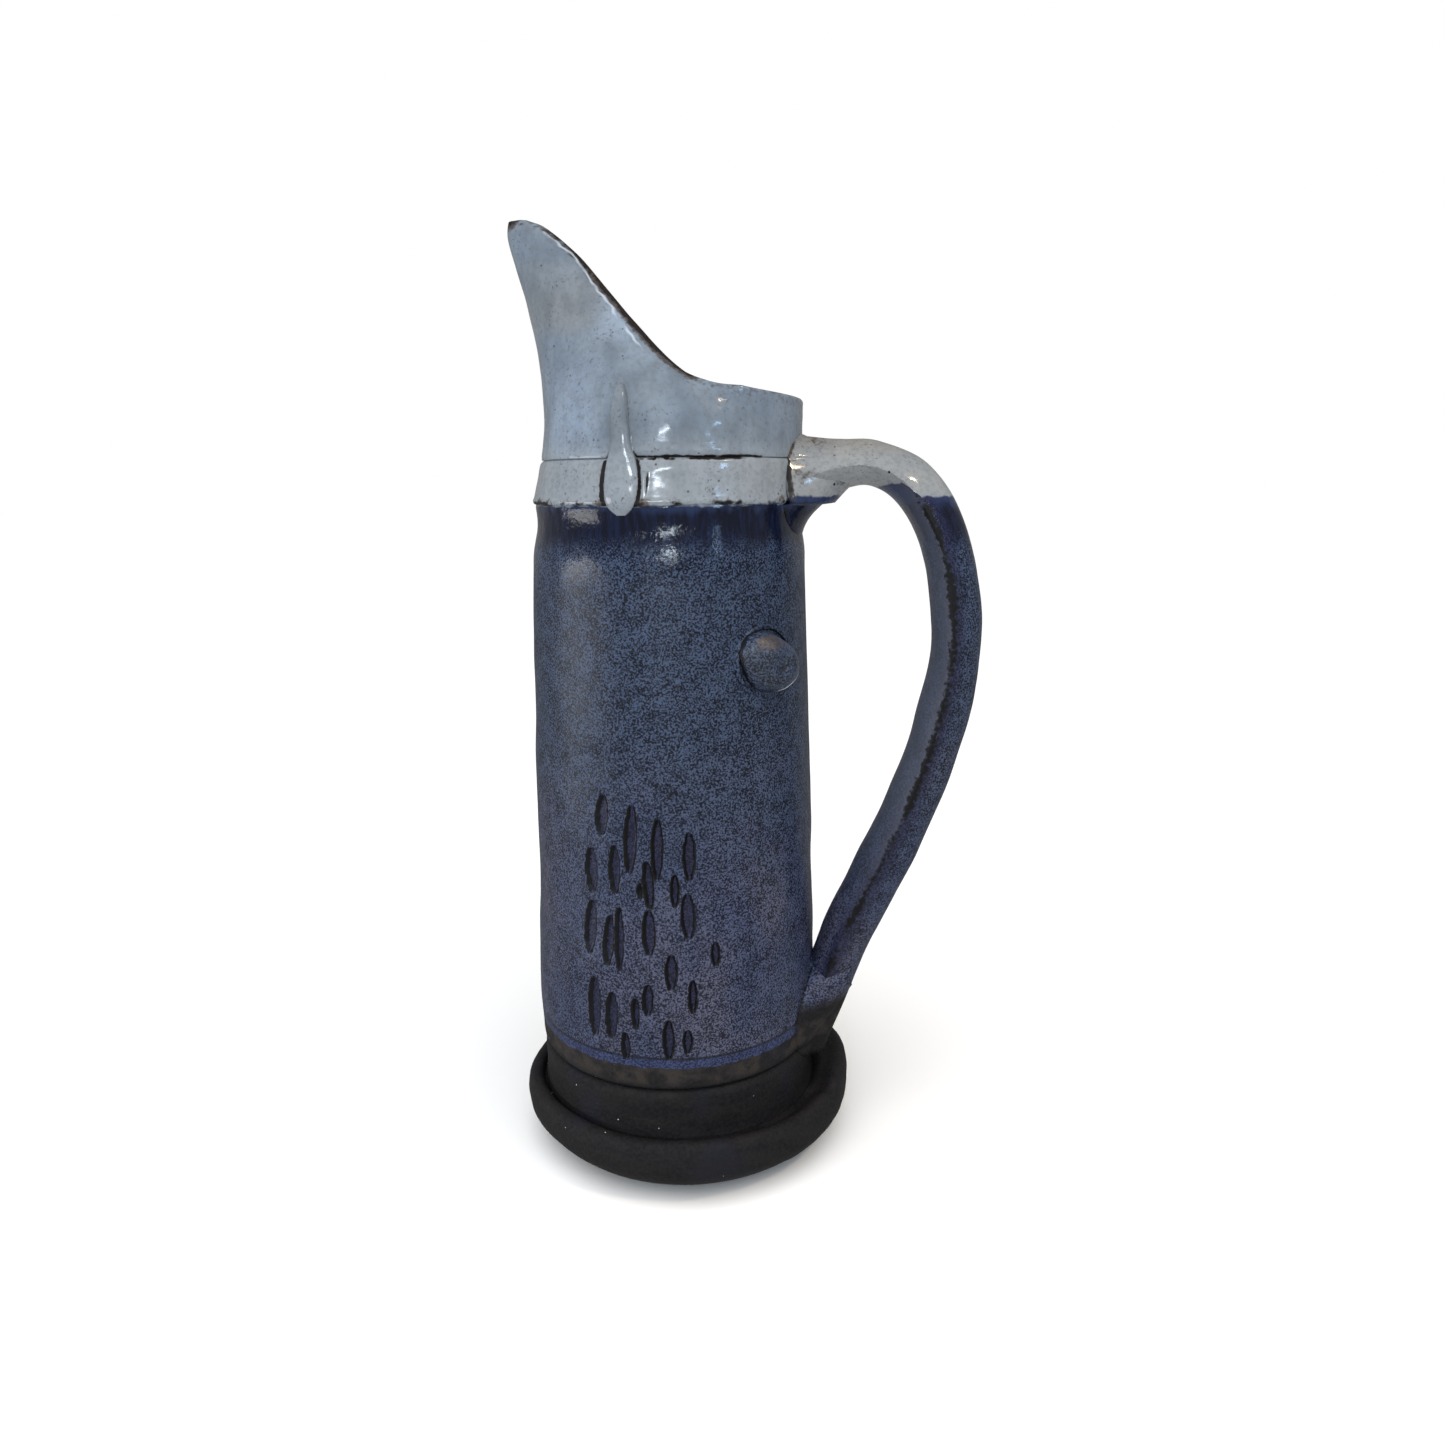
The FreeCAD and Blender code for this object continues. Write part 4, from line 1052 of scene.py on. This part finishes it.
def on_boss(sideways, upright, outwards):
    """Points by their place on the boss: along it, across it, and out from the tube."""
    spot = BOSS_OUT * BOSS_WALL + UPWARD * BOSS_HEIGHT
    return (
        spot + sideways[..., None] * LONG_WAY
        + upright[..., None] * SHORT_WAY + outwards[..., None] * BOSS_OUT
    )


rounds = np.linspace(-math.pi, math.pi, 120, endpoint=False)
tips = np.linspace(0.04, 0.97, 60)[:, None] * math.pi
girth = np.sin(tips) ** 0.8
rounded = 1.0 + 0.05 * np.cos(2 * rounds + 0.6) + 0.04 * np.sin(3 * rounds)
aside, across = 0.0113 * girth * np.cos(rounds) * rounded, 0.0091 * girth * np.sin(rounds) * rounded
dome = 0.0072 * np.cos(tips) + 0.0 * rounds
hollow = 0.0016 * np.exp(-((aside - 0.001) ** 2 / 0.0035 ** 2 + across ** 2 / 0.0028 ** 2))
right_rim = hump(rounds, -0.45, 1.25) * hump(tips / math.pi, 0.36, 0.10)
pellet = on_boss(aside, across, np.where(dome > 0, dome - hollow, dome * 0.5))
pellet = pellet + BOSS_OUT * (0.0008 * right_rim + 0.0005 * waver(pellet, 0.006, 81))[..., None]
set_in_place(
    clay_mesh("boss_pellet", pellet, marks={
        "thin": np.clip(right_rim * 2.4 - 0.9, 0, 1) * 0.9,
        "dark": np.maximum(hump(tips / math.pi, 0.50, 0.10) * 0.8, hollow / 0.0016 * 0.55),
        # Painted warm highlight: a brown patch on the upper left of the boss.
        "brown": hump(rounds, 2.4, 1.5) * hump(tips / math.pi, 0.24, 0.26) * 0.8,
    }),
    fired_surface("blue_glaze_boss", shine=0.9), "boss")

ring_turns = np.linspace(-math.pi, math.pi, 40, endpoint=False)[:, None]
seat_long, seat_short = 0.0117 + 0.0009 * np.cos(ring_turns), 0.0105 + 0.0009 * np.cos(ring_turns)
left_side = 0.35 + 0.65 * hump(np.abs(rounds), math.pi, 2.2)
wall_fall = (seat_long * np.cos(rounds) * math.cos(BOSS_TILT)) ** 2 / (2 * 0.046)
seat_lift = 0.0012 * np.sin(ring_turns) * left_side - 0.0004
seat = on_boss(seat_long * np.cos(rounds), seat_short * np.sin(rounds), seat_lift - wall_fall)
seat = seat + BOSS_OUT * (0.0003 * waver(seat, 0.004, 82))[..., None]
set_in_place(
    clay_mesh("boss_seat_ring", seat, looped=True, marks={
        "dark": hump(np.cos(ring_turns), -1.0, 0.7) * np.ones_like(rounds) * 0.8,
    }),
    fired_surface("blue_glaze_seat"), "boss_seat")


# The studio: a plain pale floor in an even white room, with a soft window light in front, a
# small blue one at the front right, a low pale board on the left, a small warm lamp and a wide
# high light. Nothing of it belongs to the pitcher.
CAMERA_PLACE = Vector((0.0, -0.355, 0.226))
CAMERA_TILT = math.radians(12.71)
CAMERA_YAW = math.radians(2.70)
CAMERA_ROLL = math.radians(0.6)
CAMERA_LENS = 26.78


def soft_light(name, place, aim, width, height, power, colour):
    """A rectangular lamp that looks at a point."""
    lamp = bpy.data.lights.new(name, "AREA")
    lamp.shape = "RECTANGLE"
    lamp.size, lamp.size_y = width, height
    lamp.energy = power
    lamp.color = colour
    holder = bpy.data.objects.new(name, lamp)
    holder.location = place
    holder.rotation_euler = (Vector(aim) - Vector(place)).to_track_quat("-Z", "Y").to_euler()
    show(holder)


def high_light():
    """Wide soft light from above and a little in front, the same all over the floor."""
    lamp = bpy.data.lights.new("high_light", "SUN")
    lamp.energy = 3.2
    lamp.angle = math.radians(70)
    holder = bpy.data.objects.new("high_light", lamp)
    holder.rotation_euler = (math.radians(24), 0.0, math.radians(-14))
    holder.visible_glossy = False
    show(holder)


def pale_floor():
    mesh = bpy.data.meshes.new("pale_floor")
    mesh.from_pydata([(-9, -9, 0), (9, -9, 0), (9, 9, 0), (-9, 9, 0)], [], [(0, 1, 2, 3)])
    paint = bpy.data.materials.new("pale_floor_paint")
    paint.use_nodes = True
    shader = paint.node_tree.nodes["Principled BSDF"]
    shader.inputs["Base Color"].default_value = (0.92, 0.92, 0.92, 1.0)
    shader.inputs["Roughness"].default_value = 0.8
    mesh.materials.append(paint)
    floor = bpy.data.objects.new("pale_floor", mesh)
    floor.location.z = cad_low.z - 0.0002
    floor.visible_glossy = False
    show(floor)


def white_room():
    """Even light from all round, brighter where the camera sees the backdrop itself."""
    world = bpy.data.worlds.new("white_room")
    world.use_nodes = True
    tree = world.node_tree
    tree.nodes.clear()
    seen = ask(tree, "ShaderNodeLightPath", output="Is Camera Ray")
    strength = ask(tree, "ShaderNodeMapRange", {0: seen, 3: 0.27, 4: 1.0})
    glow = ask(tree, "ShaderNodeBackground", {"Color": (1.0, 1.0, 1.0, 1.0), "Strength": strength})
    wire(tree, "ShaderNodeOutputWorld", {0: glow})
    bpy.context.scene.world = world


pale_floor()
white_room()
soft_light("window", (-0.14, -1.19, 0.53), (0.0, 0.0, 0.21), 0.30, 0.10, 3.0, (0.80, 0.91, 1.0))
soft_light("small_window", (0.76, -0.91, 0.54), (0.0, 0.0, 0.22), 0.06, 0.12, 0.6, (0.42, 0.66, 1.0))
soft_light("left_bounce", (-1.25, -0.30, 0.03), (0.0, 0.0, 0.07), 0.90, 0.38, 5.5, (1.0, 1.0, 1.0))
soft_light("warm_spot", (0.50, -0.42, 0.85), (0.04, 0.0, 0.23), 0.07, 0.07, 1.6, (1.0, 0.80, 0.55))
high_light()

level = Vector((math.cos(CAMERA_YAW), -math.sin(CAMERA_YAW), 0.0))
ahead = Vector((math.sin(CAMERA_YAW), math.cos(CAMERA_YAW), 0.0))
ahead = ahead * math.cos(CAMERA_TILT) - Vector((0, 0, 1)) * math.sin(CAMERA_TILT)
above = level.cross(ahead)
side = level * math.cos(CAMERA_ROLL) - above * math.sin(CAMERA_ROLL)
top = level * math.sin(CAMERA_ROLL) + above * math.cos(CAMERA_ROLL)
camera = bpy.data.objects.new("camera", bpy.data.cameras.new("camera"))
camera.data.lens = CAMERA_LENS
camera.data.clip_start = 0.01
camera.matrix_world = Matrix.Translation(CAMERA_PLACE) @ Matrix((side, top, -ahead)).transposed().to_4x4()
show(camera)
bpy.context.scene.camera = camera
bpy.context.scene.view_settings.view_transform = "Standard"
